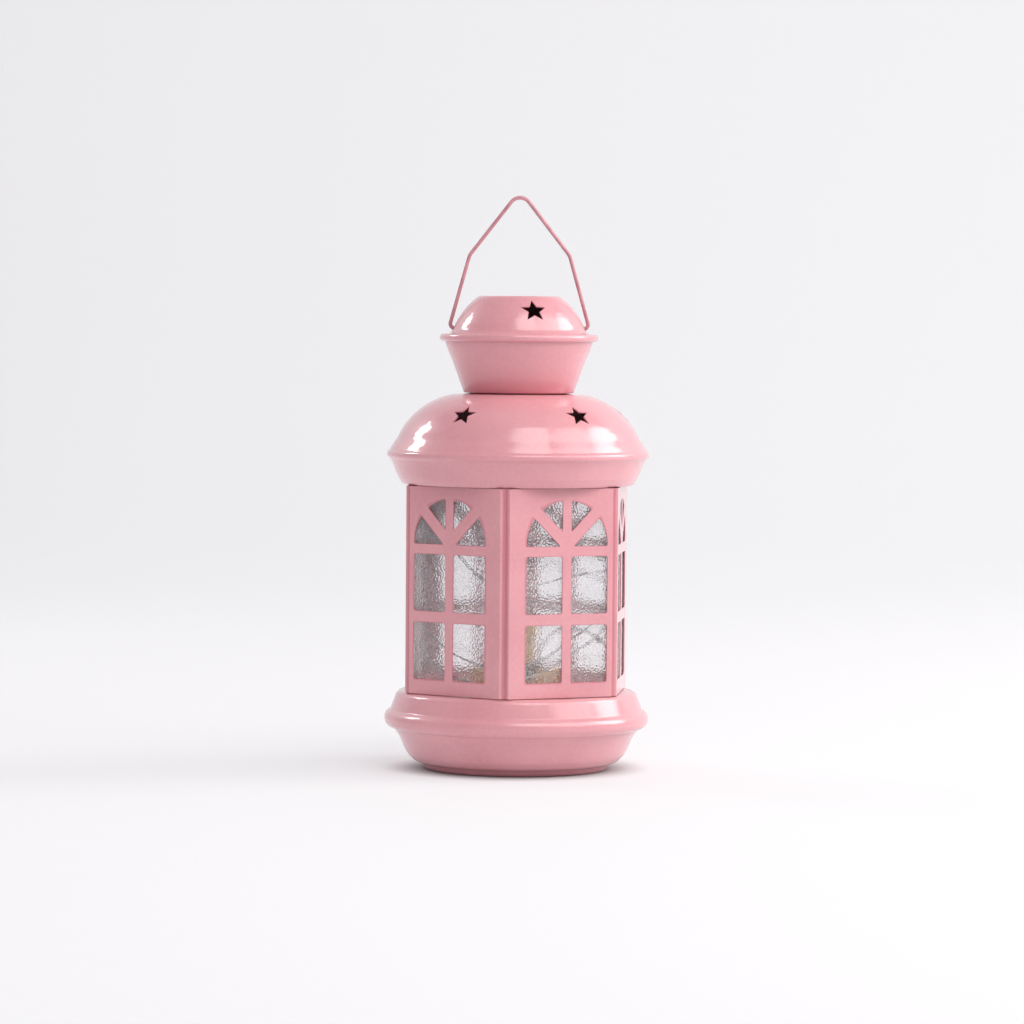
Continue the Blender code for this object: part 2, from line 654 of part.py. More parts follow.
def main():
    clear_scene()
    enamel = material("pink_enamel", (0.74, 0.33, 0.37), 0.3)
    glass = material("pebbled_glass", (0.92, 0.94, 0.95), 0.15, transmission=1.0)
    brass = material("brass_tin", (0.72, 0.48, 0.16), 0.35, metallic=1.0)
    cork = material("cork_shell", (0.55, 0.36, 0.16), 0.6)
    dark = material("dark_plastic", (0.09, 0.06, 0.055), 0.45)
    white = material("white_plastic", (0.85, 0.84, 0.82), 0.35)
    steel = material("cell_steel", (0.62, 0.62, 0.63), 0.3, metallic=1.0)
    silver = material("silver_wire", (0.5, 0.5, 0.5), 0.35, metallic=1.0)
    clear = material("clear_resin", (0.95, 0.93, 0.88), 0.1, transmission=0.9)
    make_base_bowl(enamel)
    make_base_deck(enamel)
    make_candle_cup(brass)
    make_walls(enamel)
    make_glass(glass)
    make_frames(enamel)
    make_roof(enamel)
    make_chimney(enamel)
    make_cap(enamel)
    make_handle(enamel)
    make_battery_holder(cork, dark, white, steel)
    make_light_string(silver, clear)


main()
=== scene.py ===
import math

import bmesh
import bpy
import numpy as np
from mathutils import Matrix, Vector


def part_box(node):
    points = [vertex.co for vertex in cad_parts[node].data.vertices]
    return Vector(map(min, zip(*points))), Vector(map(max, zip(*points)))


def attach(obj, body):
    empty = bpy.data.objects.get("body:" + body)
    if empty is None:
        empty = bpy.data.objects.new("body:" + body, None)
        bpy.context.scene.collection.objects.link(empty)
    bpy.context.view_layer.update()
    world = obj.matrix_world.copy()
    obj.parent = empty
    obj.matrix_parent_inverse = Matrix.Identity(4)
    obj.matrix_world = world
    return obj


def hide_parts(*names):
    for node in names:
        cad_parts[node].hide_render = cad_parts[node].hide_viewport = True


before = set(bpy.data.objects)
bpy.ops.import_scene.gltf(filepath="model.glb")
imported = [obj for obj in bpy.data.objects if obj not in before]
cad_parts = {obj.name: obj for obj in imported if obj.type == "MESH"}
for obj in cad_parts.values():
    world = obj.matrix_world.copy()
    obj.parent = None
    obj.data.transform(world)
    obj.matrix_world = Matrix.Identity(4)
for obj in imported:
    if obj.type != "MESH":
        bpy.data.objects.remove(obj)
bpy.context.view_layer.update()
MM = 0.001


# --- Helpers for finishes. Values go on the nodes' own sockets; patterns lie on Object coordinates.
def placed(name, data):
    """An object with this data, added to the scene."""
    made = bpy.data.objects.new(name, data)
    bpy.context.collection.objects.link(made)
    return made


def feed(tree, socket, value):
    """Links another node's output to a socket, or puts a plain value on it."""
    if isinstance(value, bpy.types.NodeSocket):
        tree.links.new(value, socket)
    else:
        socket.default_value = (*value, 1.0) if socket.type == "RGBA" else value


def add_node(tree, kind, inputs=(), **settings):
    """The outputs of a new shader node with these inputs, by name or number, and settings."""
    made = tree.nodes.new("ShaderNode" + kind)
    for key, value in settings.items():
        setattr(made, key, value)
    for socket, value in dict(inputs).items():
        feed(tree, made.inputs[socket], value)
    return made.outputs


def ranged(tree, value, low, high, to_low, to_high, smooth=False):
    """A value stretched from one range to another and held at its ends."""
    limits = {"From Min": low, "From Max": high, "To Min": to_low, "To Max": to_high, "Value": value}
    ease = "SMOOTHSTEP" if smooth else "LINEAR"
    return add_node(tree, "MapRange", limits, interpolation_type=ease)["Result"]


def calculated(tree, operation, first, second):
    """A sum or a product of two values."""
    return add_node(tree, "Math", {0: first, 1: second}, operation=operation)["Value"]


def cloud(tree, size, detail=2.0, stretch=(1.0, 1.0, 1.0)):
    """A noise pattern on Object coordinates, with patches of about this size in millimetres."""
    place = add_node(tree, "TexCoord")["Object"]
    spread = add_node(tree, "Mapping", {"Scale": stretch, "Vector": place})["Vector"]
    pattern = {"Scale": 1.0 / (size * MM), "Detail": detail, "Vector": spread}
    return add_node(tree, "TexNoise", pattern)["Fac"]


def blended(tree, share, first, second):
    """A colour between two others; each is a colour or another node's output."""
    return add_node(tree, "Mix", {"Factor": share, 6: first, 7: second}, data_type="RGBA")[2]


def surfaced(tree, output):
    """Makes a shader node's output the material's surface."""
    tree.links.new(output, tree.nodes["Material Output"].inputs["Surface"])


def plain_finish(name, colour, roughness, **sockets):
    """A Principled material with plain values on the shader's own sockets."""
    made = bpy.data.materials.new(name)
    made.use_nodes = True
    tree = made.node_tree
    shader = tree.nodes["Principled BSDF"]
    for socket, value in {"Base_Color": colour, "Roughness": roughness, **sockets}.items():
        feed(tree, shader.inputs[socket.replace("_", " ")], value)
    return made, tree, shader


def coloured(tree, shader, share, first, second):
    """Base colour blended between two others."""
    tree.links.new(blended(tree, share, first, second), shader.inputs["Base Color"])


def roughened(tree, shader, pattern, least, most):
    """Roughness that follows a pattern's middle range."""
    tree.links.new(ranged(tree, pattern, 0.3, 0.7, least, most), shader.inputs["Roughness"])


def raised(tree, shader, patterns, coat=False):
    """Bump from several patterns, each with its height in millimetres."""
    below = {}
    for value, height in patterns:
        bump = {"Strength": 1.0, "Distance": height * MM, "Height": value, **below}
        below = {"Normal": add_node(tree, "Bump", bump)["Normal"]}
    for socket in ("Normal", "Coat Normal")[: 1 + coat]:
        tree.links.new(below["Normal"], shader.inputs[socket])


# --- Camera and studio. A long lens looks slightly down from nearly two metres. The lantern stands on a pale
# sheet that sweeps up behind it and glows faintly, with painted light in the glow and a painted shadow under
# the lantern where the glow stops. A window-shaped lamp at the back left draws the crisp highlights, and
# three soft glowing cards above, in front and to the right fill the rest.
camera_data = bpy.data.cameras.new("camera")
camera_data.lens = 150.3
camera_data.sensor_width = 36.0
camera_data.dof.use_dof = False
camera_data.clip_start = 0.05
camera = placed("camera", camera_data)
camera.location = (-0.0032, -1.9, 0.199)
camera.rotation_euler = (math.radians(90 - 2.56), math.radians(-0.45), 0.0)
bpy.context.scene.camera = camera
bpy.context.scene.view_settings.view_transform = "Standard"


def aim(made, direction, distance):
    """Puts a lamp or a card out along a direction, facing the middle of the lantern."""
    way = Vector(direction).normalized()
    made.location = Vector((0.0, 0.0, 0.12)) + way * distance
    made.rotation_euler = (-way).to_track_quat("-Z", "Y").to_euler()
    made.visible_camera = False


lamp_data = bpy.data.lights.new("window_lamp", "AREA")
lamp_data.shape = "RECTANGLE"
lamp_data.size, lamp_data.size_y = 0.26, 0.30
lamp_data.energy = 2.8
window_lamp = placed("window_lamp", lamp_data)
aim(window_lamp, (-0.72, 0.45, 0.50), 1.3)

world = bpy.data.worlds.new("studio_air")
bpy.context.scene.world = world
world.use_nodes = True
world.node_tree.nodes["Background"].inputs["Color"].default_value = (0.93, 0.93, 0.97, 1.0)
world.node_tree.nodes["Background"].inputs["Strength"].default_value = 0.42


def soft_card(name, direction, distance, size, brightness, colour):
    """A glowing card that faces the lantern, full in the middle and fading out towards its edges."""
    mesh = bpy.data.meshes.new(name)
    x, y = size[0] / 2, size[1] / 2
    mesh.from_pydata([(-x, -y, 0), (x, -y, 0), (x, y, 0), (-x, y, 0)], [], [(3, 2, 1, 0)])
    made = placed(name, mesh)
    aim(made, direction, distance)
    glow = bpy.data.materials.new(name)
    glow.use_nodes = True
    tree = glow.node_tree
    place = add_node(tree, "TexCoord")["Object"]
    scaled = add_node(tree, "Mapping", {"Scale": (1 / x, 1 / y, 1), "Vector": place})["Vector"]
    ball = add_node(tree, "TexGradient", {"Vector": scaled}, gradient_type="SPHERICAL")["Fac"]
    fade = ranged(tree, ball, 0.0, 0.45, 0.0, brightness, smooth=True)
    surfaced(tree, add_node(tree, "Emission", {"Color": colour, "Strength": fade})["Emission"])
    made.data.materials.append(glow)


soft_card("right_card", (0.80, -0.38, 0.70), 1.6, (1.9, 1.5), 3.0, (1.0, 0.965, 0.945))
soft_card("edge_card", (0.90, 0.16, 0.50), 1.6, (1.2, 1.3), 6.5, (1.0, 0.965, 0.945))
soft_card("front_card", (0.22, -0.60, 0.80), 1.7, (1.4, 1.4), 4.1, (1.0, 0.98, 0.965))


def grid_faces(rows, columns, closed=False):
    """Quads of a grid of points stored row by row; a closed grid joins its last column to its first."""
    i, j = np.meshgrid(np.arange(rows - 1), np.arange(columns - (0 if closed else 1)), indexing="ij")
    here = i * columns + j
    beside = i * columns + (j + 1) % columns
    return np.stack([here, beside, beside + columns, here + columns], axis=-1).reshape(-1, 4)


def sweep_sheet():
    """Floor and backdrop: a profile (flat, quarter circle of 0.8 m, upright) carried along X."""
    turn = np.radians(np.linspace(0, 90, 25))
    y = np.concatenate([[-4.0, -2.0, 0.0], 1.6 + 0.8 * np.sin(turn), [2.4]])
    z = np.concatenate([[0.0, 0.0, 0.0], 0.8 - 0.8 * np.cos(turn), [3.2]])
    x = np.linspace(-4.0, 4.0, 9)
    points = np.stack([np.tile(x, len(y)), np.repeat(y, len(x)), np.repeat(z, len(x))], axis=1)
    mesh = bpy.data.meshes.new("sweep_sheet")
    mesh.from_pydata(points.tolist(), [], grid_faces(len(y), len(x)).tolist())
    mesh.shade_smooth()
    return placed("sweep_sheet", mesh)


backdrop = sweep_sheet()
paper, tree, shader = plain_finish(
    "studio_paper", (0.45, 0.445, 0.455), 0.8, Specular_IOR_Level=0.2, Emission_Color=(0.985, 0.98, 1.0)
)
place = add_node(tree, "TexCoord")["Object"]
axes = add_node(tree, "SeparateXYZ", {"Vector": place})
# Painted light: the glow rises towards the back, grows brighter to the right and dimmer higher up. Painted
# shadow: it fades to nothing within 38 to 62 mm of the origin, under the lantern.
glow = ranged(tree, axes["Y"], 0.3, 2.3, 0.44, 0.57)
glow = calculated(tree, "ADD", glow, ranged(tree, axes["X"], -0.9, 0.9, -0.045, 0.055))
glow = calculated(tree, "ADD", glow, ranged(tree, axes["Z"], 0.1, 1.0, 0.0, -0.05))
reach = add_node(tree, "VectorMath", {0: place}, operation="LENGTH")["Value"]
painted_contact_shadow = ranged(tree, reach, 0.038, 0.062, 0.0, 1.0, smooth=True)
tree.links.new(calculated(tree, "MULTIPLY", glow, painted_contact_shadow), shader.inputs["Emission Strength"])
backdrop.data.materials.append(paper)


# --- Light cord. Two fine tinned wires side by side, 0.88 m long. They leave the battery holder's grommet
# and lie in loose turns against the glass, held only by their own springiness.
GROMMET_END = (9.1, -2.0, 41.0)
CORD_EXIT = (9.4, -2.0, 41.0)
SPAN_STEPS = 24
STRAND_RADIUS = 0.19
STRAND_OFFSET = 0.4
STRAND_TURN = 160.0
ROUTE_POINTS = 560
CORD_LEAD = [
    (10.2, -2.1, 41.3), (11.0, -3.0, 43.4), (10.3, -5.0, 48.0), (10.3, -7.2, 53.0),
    (13.2, -9.4, 58.6), (19.0, -11.4, 62.8),
]
# plan angle from the front, distance from the centre line, height
CORD_TURNS = [
    (66, 32, 62.5), (78, 37, 58), (90, 40, 53.5), (112, 42.5, 49), (140, 40, 46), (165, 42, 44.5),
    (188, 41, 46), (212, 40, 50), (236, 42.5, 53), (262, 40.6, 54.5), (284, 41, 51.5), (300, 40.5, 47),
    (316, 39.5, 42.5), (340, 39, 40.2), (362, 38.5, 42), (380, 38, 47), (397, 38.5, 53), (416, 41, 60),
    (438, 40.5, 66), (462, 41.5, 70), (488, 41, 72.5), (515, 41.5, 73), (540, 42, 72), (566, 40.5, 70.5),
    (592, 42, 69), (618, 40.8, 67), (640, 42, 63.5), (656, 40.5, 59.5), (676, 39.5, 53), (700, 39, 48),
    (722, 38.5, 47.5), (740, 38, 52.5), (757, 38.5, 59.5), (775, 41, 67), (797, 40.8, 75),
    (820, 42, 81), (846, 41, 85), (872, 41.5, 88), (898, 42, 90.5), (924, 40.6, 94), (950, 42, 98.5),
    (975, 41, 102.5), (1001, 41.5, 104.5), (1020, 41, 103.5), (1038, 39.5, 97.5), (1054, 39, 88),
    (1074, 39, 82.5), (1096, 39.5, 84.5), (1113, 39.6, 87.5), (1130, 41, 88.6), (1152, 41, 89.5),
    (1176, 41.5, 91.5), (1203, 41, 95),
]


def plan_points(angles, radii):
    """Plan places at angles in degrees from -Y towards +X: (r sin a, -r cos a)."""
    turn = np.radians(np.asarray(angles, float))
    return np.stack([radii * np.sin(turn), -radii * np.cos(turn)], axis=-1)


def distances(line):
    """Distance along a line at each of its points."""
    return np.concatenate([[0.0], np.cumsum(np.linalg.norm(np.diff(line, axis=0), axis=1))])


def smooth_route(knots, steps):
    """A Catmull-Rom curve: each span is a cubic whose end directions follow the knots on either side."""
    knots = np.vstack([2 * knots[0] - knots[1], knots, 2 * knots[-1] - knots[-2]])
    a, b, c, d = (knots[k : len(knots) - 3 + k, None] for k in range(4))
    t = np.linspace(0, 1, steps, endpoint=False)[None, :, None]
    spans = 0.5 * (
        2 * b + (c - a) * t + (2 * a - 5 * b + 4 * c - d) * t**2 + (3 * b - a - 3 * c + d) * t**3
    )
    return np.vstack([spans.reshape(-1, 3), knots[-2]])


def line_at(line, places):
    """Points of a line at given distances along it. Past either end it runs straight on."""
    first = line[0] + (line[0] - line[1]) / np.linalg.norm(line[0] - line[1]) * 50
    last = line[-1] + (line[-1] - line[-2]) / np.linalg.norm(line[-1] - line[-2]) * 50
    longer = np.vstack([first, line, last])
    run = distances(longer) - 50
    return np.stack([np.interp(places, run, longer[:, k]) for k in range(line.shape[1])], axis=-1)


def tube_points(line, radius, sides, steady=(0.0, 0.0, 1.0)):
    """Circles carried along a line, each across it with one axis level with a steady direction."""
    way = np.gradient(line, axis=0)
    way /= np.linalg.norm(way, axis=1)[:, None]
    side = np.cross(way, steady)
    side /= np.linalg.norm(side, axis=1)[:, None]
    up = np.cross(side, way)
    turn = 2 * np.pi * np.arange(sides) / sides
    ring = side[:, None] * np.cos(turn)[:, None] + up[:, None] * np.sin(turn)[:, None]
    return (line[:, None] + radius * ring).reshape(-1, 3), side, up


def tube_faces(count, sides):
    """Quads along a tube, and a face across each end."""
    ends = [list(range(sides))[::-1], list(range((count - 1) * sides, count * sides))]
    return grid_faces(count, sides, closed=True)[:, ::-1].tolist() + [end[::-1] for end in ends]


def join(shapes):
    """Several points-and-faces shapes as one."""
    start = np.cumsum([0] + [len(points) for points, _ in shapes])
    faces = [[k + first for k in face] for first, (_, some) in zip(start, shapes) for face in some]
    return np.vstack([points for points, _ in shapes]), faces


def make_piece(name, points, faces, finish, body, slot, nodes=(), wear=None, sharp=40):
    """A welded mesh from points in millimetres that rides on a body; its wear, with painted shade, is 1 at
    rims.
    """
    mesh = bpy.data.meshes.new(name)
    mesh.from_pydata((np.asarray(points, float) * MM).tolist(), [], faces)
    worn_and_shaded = mesh.attributes.new("wear", "FLOAT", "POINT")
    if wear is not None:
        worn_and_shaded.data.foreach_set("value", np.asarray(wear, float).ravel())
    shape = bmesh.new()
    shape.from_mesh(mesh)
    bmesh.ops.remove_doubles(shape, verts=shape.verts, dist=2e-6)
    shape.to_mesh(mesh)
    shape.free()
    mesh.shade_smooth()
    mesh.set_sharp_from_angle(angle=math.radians(sharp))
    mesh.materials.append(finish)
    made = placed(name, mesh)
    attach(made, body)
    if nodes:
        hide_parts(*nodes)
    return made


tinned, tree, shader = plain_finish("silver_wire", (0.4, 0.4, 0.41), 0.35, Metallic=1.0)
dulling = cloud(tree, 4.0, 3.0)
coloured(tree, shader, dulling, (0.24, 0.24, 0.25), (0.50, 0.50, 0.51))
roughened(tree, shader, dulling, 0.22, 0.45)

cord_knots = np.vstack(
    [
        [CORD_EXIT],
        CORD_LEAD,
        [[*plan_points([angle], radius)[0], height] for angle, radius, height in CORD_TURNS],
    ]
)
cord_curve = smooth_route(cord_knots, SPAN_STEPS)
cord_run = distances(cord_curve)
CORD_LENGTH = float(cord_run[-1])
cord_middle = line_at(cord_curve, np.linspace(0, CORD_LENGTH, ROUTE_POINTS))


def make_cord():
    """Two thin tubes on either side of the route; the pair turns once in 160 mm."""
    line = np.vstack([GROMMET_END, cord_middle])
    _, side, up = tube_points(line, 1.0, 3)
    turn = 2 * np.pi * distances(line)[:, None] / STRAND_TURN
    away = side * np.cos(turn) + up * np.sin(turn)
    strands = [line + away * STRAND_OFFSET, line - away * STRAND_OFFSET]
    shapes = [(tube_points(strand, STRAND_RADIUS, 8)[0], tube_faces(len(line), 8)) for strand in strands]
    return join(shapes)


light_cord = make_piece("light_cord_wire", *make_cord(), tinned, "base", "silver_wire", ["light_cord"])


# --- Lights. Ten chips soldered across the two wires, 91 mm apart, each sealed in a drop of clear resin that
# the wires run through. The last one closes the cord's far end.
LIGHT_LENGTH = 5.2
LIGHT_RADIUS = 1.6
CORD_POINTS = 80
LEAD_POINTS = 14
FIRST_LIGHT = 15
LIGHT_STEP = 7
LIGHT_RINGS = 15
LIGHT_SIDES = 16
CHIP_FACES = 6

resin, tree, shader = plain_finish("clear_resin", (0.97, 0.96, 0.93), 0.05, IOR=1.5, Transmission_Weight=1.0)
raised(tree, shader, [(cloud(tree, 1.6), 0.05)])
chip_gold, tree, shader = plain_finish("chip_phosphor", (0.85, 0.62, 0.10), 0.5)
coloured(tree, shader, cloud(tree, 0.5), (0.75, 0.5, 0.06), (0.92, 0.72, 0.2))

lead_length = float(cord_run[SPAN_STEPS * len(CORD_LEAD)])
cord_steps = np.concatenate(
    [
        np.linspace(0, lead_length, LEAD_POINTS, endpoint=False),
        np.linspace(lead_length, CORD_LENGTH, CORD_POINTS - LEAD_POINTS),
    ]
)


def make_light(place):
    """A drop: rings across the wire whose radius follows a rounded, slightly pear-shaped outline."""
    share = 0.5 - 0.5 * np.cos(np.pi * np.linspace(0, 1, LIGHT_RINGS))
    line = line_at(cord_curve, place + (share - 0.5) * LIGHT_LENGTH)
    rounded = np.sqrt(np.clip(1 - np.abs(2 * share - 1) ** 2.4, 0.0, 1))
    radius = np.clip(LIGHT_RADIUS * rounded * (1.04 - 0.14 * share), 0.01, 1.55)
    unit, side, up = tube_points(line, 1.0, LIGHT_SIDES)
    centre = np.repeat(line, LIGHT_SIDES, axis=0)
    drop = centre + (unit - centre) * np.repeat(radius, LIGHT_SIDES)[:, None]
    corners = np.array([(x, y, z) for x in (-1, 1) for y in (-1, 1) for z in (-1, 1)], float)
    k = LIGHT_RINGS // 2
    way = np.cross(up[k], side[k])
    chip = line[k] + corners @ np.array([way * 0.8, side[k] * 0.55, up[k] * 0.3]) + up[k] * 0.4
    box = [(0, 1, 3, 2), (4, 6, 7, 5), (0, 4, 5, 1), (2, 3, 7, 6), (0, 2, 6, 4), (1, 5, 7, 3)]
    return join([(drop, tube_faces(LIGHT_RINGS, LIGHT_SIDES)), (chip, box)])


for k in range(10):
    span = FIRST_LIGHT + LIGHT_STEP * k
    middle = float(cord_steps[span] + cord_steps[span + 1]) / 2
    name = f"light_{k + 1:02d}"
    points, faces = make_light(middle)
    light = make_piece(f"{name}_drop", points, faces, resin, "base", "clear_resin", [name])
    light.data.materials.append(chip_gold)
    for face in light.data.polygons[-CHIP_FACES:]:
        face.material_index = 1


# --- Base. Two pressings of 0.6 mm tin, painted inside and out with glossy pink enamel: a bowl on a foot
# ring, and a deck whose big rolled bead closes over the bowl's rim, with three slots for the housing's lugs.
SHEET = 0.6
DECK_TOP = 34.7
LUG_TURNS = (24.0, 144.0, 264.0)
LUG_RADIUS = 44.8
LUG_SLOT_HALVES = (6.0, 0.9)
LUG_SLOT_WINDOW = (7.4, 2.4)


def arc(centre, radius, start, end):
    """Points of a profile arc, one every 6 degrees or less."""
    turn = np.radians(np.linspace(start, end, max(2, math.ceil(abs(end - start) / 6) + 1)))
    return np.stack([centre[0] + radius * np.cos(turn), centre[1] + radius * np.sin(turn)], axis=1)


def softened(line, reach, step=0.1):
    """A line with its corners eased: each point is the mean of the line within a reach of it."""
    line = np.asarray(line, float)
    length = distances(line)[-1]
    places = np.linspace(0, length, int(length / step) + 1)
    ease = np.minimum(reach, np.minimum(places, length - places))[:, None]
    return line_at(line, places[:, None] + ease * np.linspace(-1, 1, 9)).mean(axis=1)


def profile_steps(line, length=1.4, turn=8.0):
    """Distances along a profile: one a length on straight runs, and one each few degrees round a bend."""
    run = distances(line)
    way = np.unwrap(np.arctan2(np.gradient(line[:, 1]), np.gradient(line[:, 0])))
    cost = run / length + np.concatenate([[0], np.cumsum(np.abs(np.diff(way)))]) / math.radians(turn)
    return np.interp(np.linspace(0, cost[-1], int(cost[-1]) + 2), cost, run)


def on_turned(line, turns, places):
    """Points of a turned surface: (r sin a, -r cos a, height), with r and height read off the profile."""
    profile = line_at(line, places)
    return np.concatenate([plan_points(turns, profile[..., 0]), profile[..., 1:]], axis=-1)


def turned_skin(line, rows, turns, punches=()):
    """A profile carried round Z, with holes punched through it.

    A punch is (plan angle, place on the profile, half width, half height, outline). The outline gives the
    hole's radius at an angle and its corners' angles. The grid's cells in that window give way to rings
    from the window's edge to the hole's edge. Returns points, faces and wear."""
    rows, turns = np.asarray(rows), np.asarray(turns)
    a, s = np.meshgrid(turns, rows)
    points = [on_turned(line, a, s).reshape(-1, 3)]
    quads = grid_faces(len(rows), len(turns), closed=True)
    kept = np.ones((len(rows) - 1, len(turns)), bool)
    edge = np.minimum(rows - rows[0], rows[-1] - rows)
    wear = [np.repeat(np.where(edge < 0.3, 0.7, 0.0), len(turns))]
    faces = []
    shares = np.array([0.3, 0.6, 0.84, 0.95, 1.0])
    for turn, place, wide, tall, outline in punches:
        ring_radius = float(line_at(line, place)[0])
        spread = math.degrees(wide / ring_radius) + 0.001
        c = np.flatnonzero(np.abs(turns - turn) <= spread)
        r = np.flatnonzero(np.abs(rows - place) <= tall + 0.001)
        kept[r[0] : r[-1], c[0] : c[-1]] = False
        grid = np.arange(len(rows) * len(turns)).reshape(len(rows), len(turns))
        window = grid[r[0] : r[-1] + 1, c[0] : c[-1] + 1]
        rim = np.concatenate([window[0, :-1], window[:-1, -1], window[-1, :0:-1], window[:0:-1, 0]])
        up = s.ravel()[rim] - place
        across = np.radians(a.ravel()[rim] - turn) * line_at(line, up + place)[:, 0]
        angle = np.unwrap(np.arctan2(up, across))
        radius_at, corners = outline
        if len(corners):
            corners = angle[0] + (np.radians(corners) - angle[0]) % (2 * np.pi)
            nearest = np.abs(angle[:, None] - corners).argmin(axis=0)
            order = np.argsort(nearest)
            spots, values = nearest[order], corners[order]
            spots = np.concatenate([[spots[-1] - len(rim)], spots, [spots[0] + len(rim)]])
            values = np.concatenate([[values[-1] - 2 * np.pi], values, [values[0] + 2 * np.pi]])
            angle = np.interp(np.arange(len(rim)), spots, values)
        edge_radius = radius_at(angle)
        hole = np.stack([edge_radius * np.cos(angle), edge_radius * np.sin(angle)], axis=1)
        start = np.stack([across, up], axis=1)
        rings = start + (hole - start) * shares[:, None, None]
        places = rings[..., 1] + place
        ring_turns = turn + np.degrees(rings[..., 0] / line_at(line, places)[..., 0])
        first = sum(len(p) for p in points)
        points.append(on_turned(line, ring_turns, places).reshape(-1, 3))
        wear.append(np.repeat(np.where(shares > 0.9, 1.0, 0.0), len(rim)))
        numbers = np.vstack([rim, first + np.arange(len(shares) * len(rim)).reshape(len(shares), -1)])
        beside = np.roll(numbers, -1, axis=1)
        ring_faces = np.stack([numbers[:-1], beside[:-1], beside[1:], numbers[1:]], axis=-1)
        faces += ring_faces.reshape(-1, 4).tolist()
    faces = quads[kept.ravel()].tolist() + faces
    return np.vstack(points), faces, np.concatenate(wear)


def thicken(made, thickness, roll=0.1, lining=None):
    """Gives a skin its sheet thickness on the inside, with its cut edges rolled over and its own lining."""
    sheet = made.modifiers.new("sheet", "SOLIDIFY")
    sheet.thickness = thickness * MM
    sheet.offset = -1.0
    sheet.use_even_offset = True
    if lining:
        made.data.materials.append(lining)
        sheet.material_offset = 1
    edge = made.modifiers.new("rolled_edges", "BEVEL")
    edge.width = roll * MM
    edge.segments = 2
    edge.limit_method = "ANGLE"
    edge.angle_limit = math.radians(50)
    evened = made.modifiers.new("even_shading", "WEIGHTED_NORMAL")
    evened.keep_sharp = True
    return made


def pressed(name, node, body, shape, lining=None):
    """A pressing of the tin sheet from its outer skin's points, faces and wear with painted shade, painted
    with the enamel.
    """
    points, faces, wear = shape
    made = make_piece(name, points, faces, enamel, body, "pink_enamel", [node], wear)
    thicken(made, SHEET, lining=lining)


def turned(profile, length, turn, count):
    """A whole turned skin without holes, in a number of even steps round."""
    return turned_skin(profile, profile_steps(profile, length, turn), even_turns(0, count))


def slot_outline(half_width, half_height):
    """The polar form of a rectangle with tight round corners, a superellipse of power 10."""
    corner = math.degrees(math.atan2(half_height, half_width))

    def radius_at(angle):
        wide = np.abs(np.cos(angle) / half_width) ** 10
        tall = np.abs(np.sin(angle) / half_height) ** 10
        return (wide + tall) ** -0.1

    return radius_at, np.array([-corner, corner, 180 - corner, 180 + corner])


def windowed(values, windows, margin):
    """Values with even steps inside each (middle, half width, steps) window and a margin round it."""
    for middle, half, _ in windows:
        values = values[np.abs(values - middle) > half + margin]
    extra = [np.linspace(middle - half, middle + half, steps + 1) for middle, half, steps in windows]
    return np.sort(np.concatenate([values, *extra]))


def even_turns(start, count, windows=()):
    """Plan angles round a whole turn."""
    return windowed(start + 360.0 * np.arange(count) / count, windows, 0.35 * 360 / count)


def banded_rows(line, bands, length=1.4, turn=8.0):
    """Profile places, with bands of even steps."""
    return windowed(profile_steps(line, length, turn), bands, 0.25)


def make_enamel():
    """Sprayed and baked enamel: a slight mottle under a clear gloss, thinner and darker at the rims, with
    painted shade.
    """
    made, tree, shader = plain_finish(
        "pink_enamel", (0.76, 0.34, 0.38), 0.34, Coat_Weight=0.9, Coat_Roughness=0.08, Coat_IOR=1.5
    )
    mottle = cloud(tree, 26.0, 4.0)
    peel = cloud(tree, 1.5, 2.0)
    waves = cloud(tree, 9.0, 2.0)
    worn_and_shaded = add_node(tree, "Attribute", attribute_name="wear")["Fac"]
    body = blended(tree, ranged(tree, mottle, 0.3, 0.7, 0, 1), (0.74, 0.305, 0.345), (0.80, 0.355, 0.395))
    grain = blended(tree, ranged(tree, peel, 0.35, 0.75, 0, 0.35), body, (0.84, 0.41, 0.45))
    # The enamel darkens where the attribute is high: thin enamel at worn rims, and painted shade in the wall
    # grooves, round the roof's neck and at the chimney's foot.
    thin_and_shaded = ranged(tree, worn_and_shaded, 0.15, 1.0, 0.0, 0.7)
    coloured(tree, shader, thin_and_shaded, grain, (0.60, 0.175, 0.215))
    roughened(tree, shader, mottle, 0.30, 0.42)
    raised(tree, shader, [(waves, 0.008), (peel, 0.0012)], coat=True)
    return made


enamel = make_enamel()

bowl_profile = softened(
    [(0, 1.6), (36.0, 1.6), (37.2, 0), (40.4, 0), (41.2, 0.9), (41.4, 2.4), (43.2, 2.8), (45.6, 3.7)]
    + [(48.2, 6.2), (50.1, 9.6), (52.2, 14.7), (54.1, 17.3), (54.8, 18.8), (54.8, 21.6)],
    0.9,
)
pressed("base_bowl_pressing", "base_bowl", "base", turned(bowl_profile, 1.6, 8, 180))

deck_profile = softened(
    np.vstack(
        [
            arc((54.6, 22.4), 4.27, -78, 70),
            [(55.1, 29.2)],
            arc((51.0, DECK_TOP - 3), 3.0, 10, 90),
            [(2.3, DECK_TOP)],
        ]
    ),
    0.5,
)
deck_run = distances(deck_profile)
flat = deck_profile[:, 1] > DECK_TOP - 0.1
slot_place = float(np.interp(-LUG_RADIUS, -deck_profile[flat][:, 0], deck_run[flat]))
slot_windows = [(turn, math.degrees(LUG_SLOT_WINDOW[0] / LUG_RADIUS), 30) for turn in LUG_TURNS]
deck_skin = turned_skin(
    deck_profile,
    banded_rows(deck_profile, [(slot_place, LUG_SLOT_WINDOW[1], 8)], 2.2),
    even_turns(0, 180, slot_windows),
    [(turn, slot_place, *LUG_SLOT_WINDOW, slot_outline(*LUG_SLOT_HALVES)) for turn in LUG_TURNS],
)
pressed("base_deck_pressing", "base_deck", "base", deck_skin)


# --- Candle cup. A thin brass-coloured dish for one tealight, its wall cut down to three lobes that spring
# the tealight in place, and the flat-headed rivet that holds it to the deck.
CUP_BOTTOM = 35.0
CUP_RADIUS = 20.1

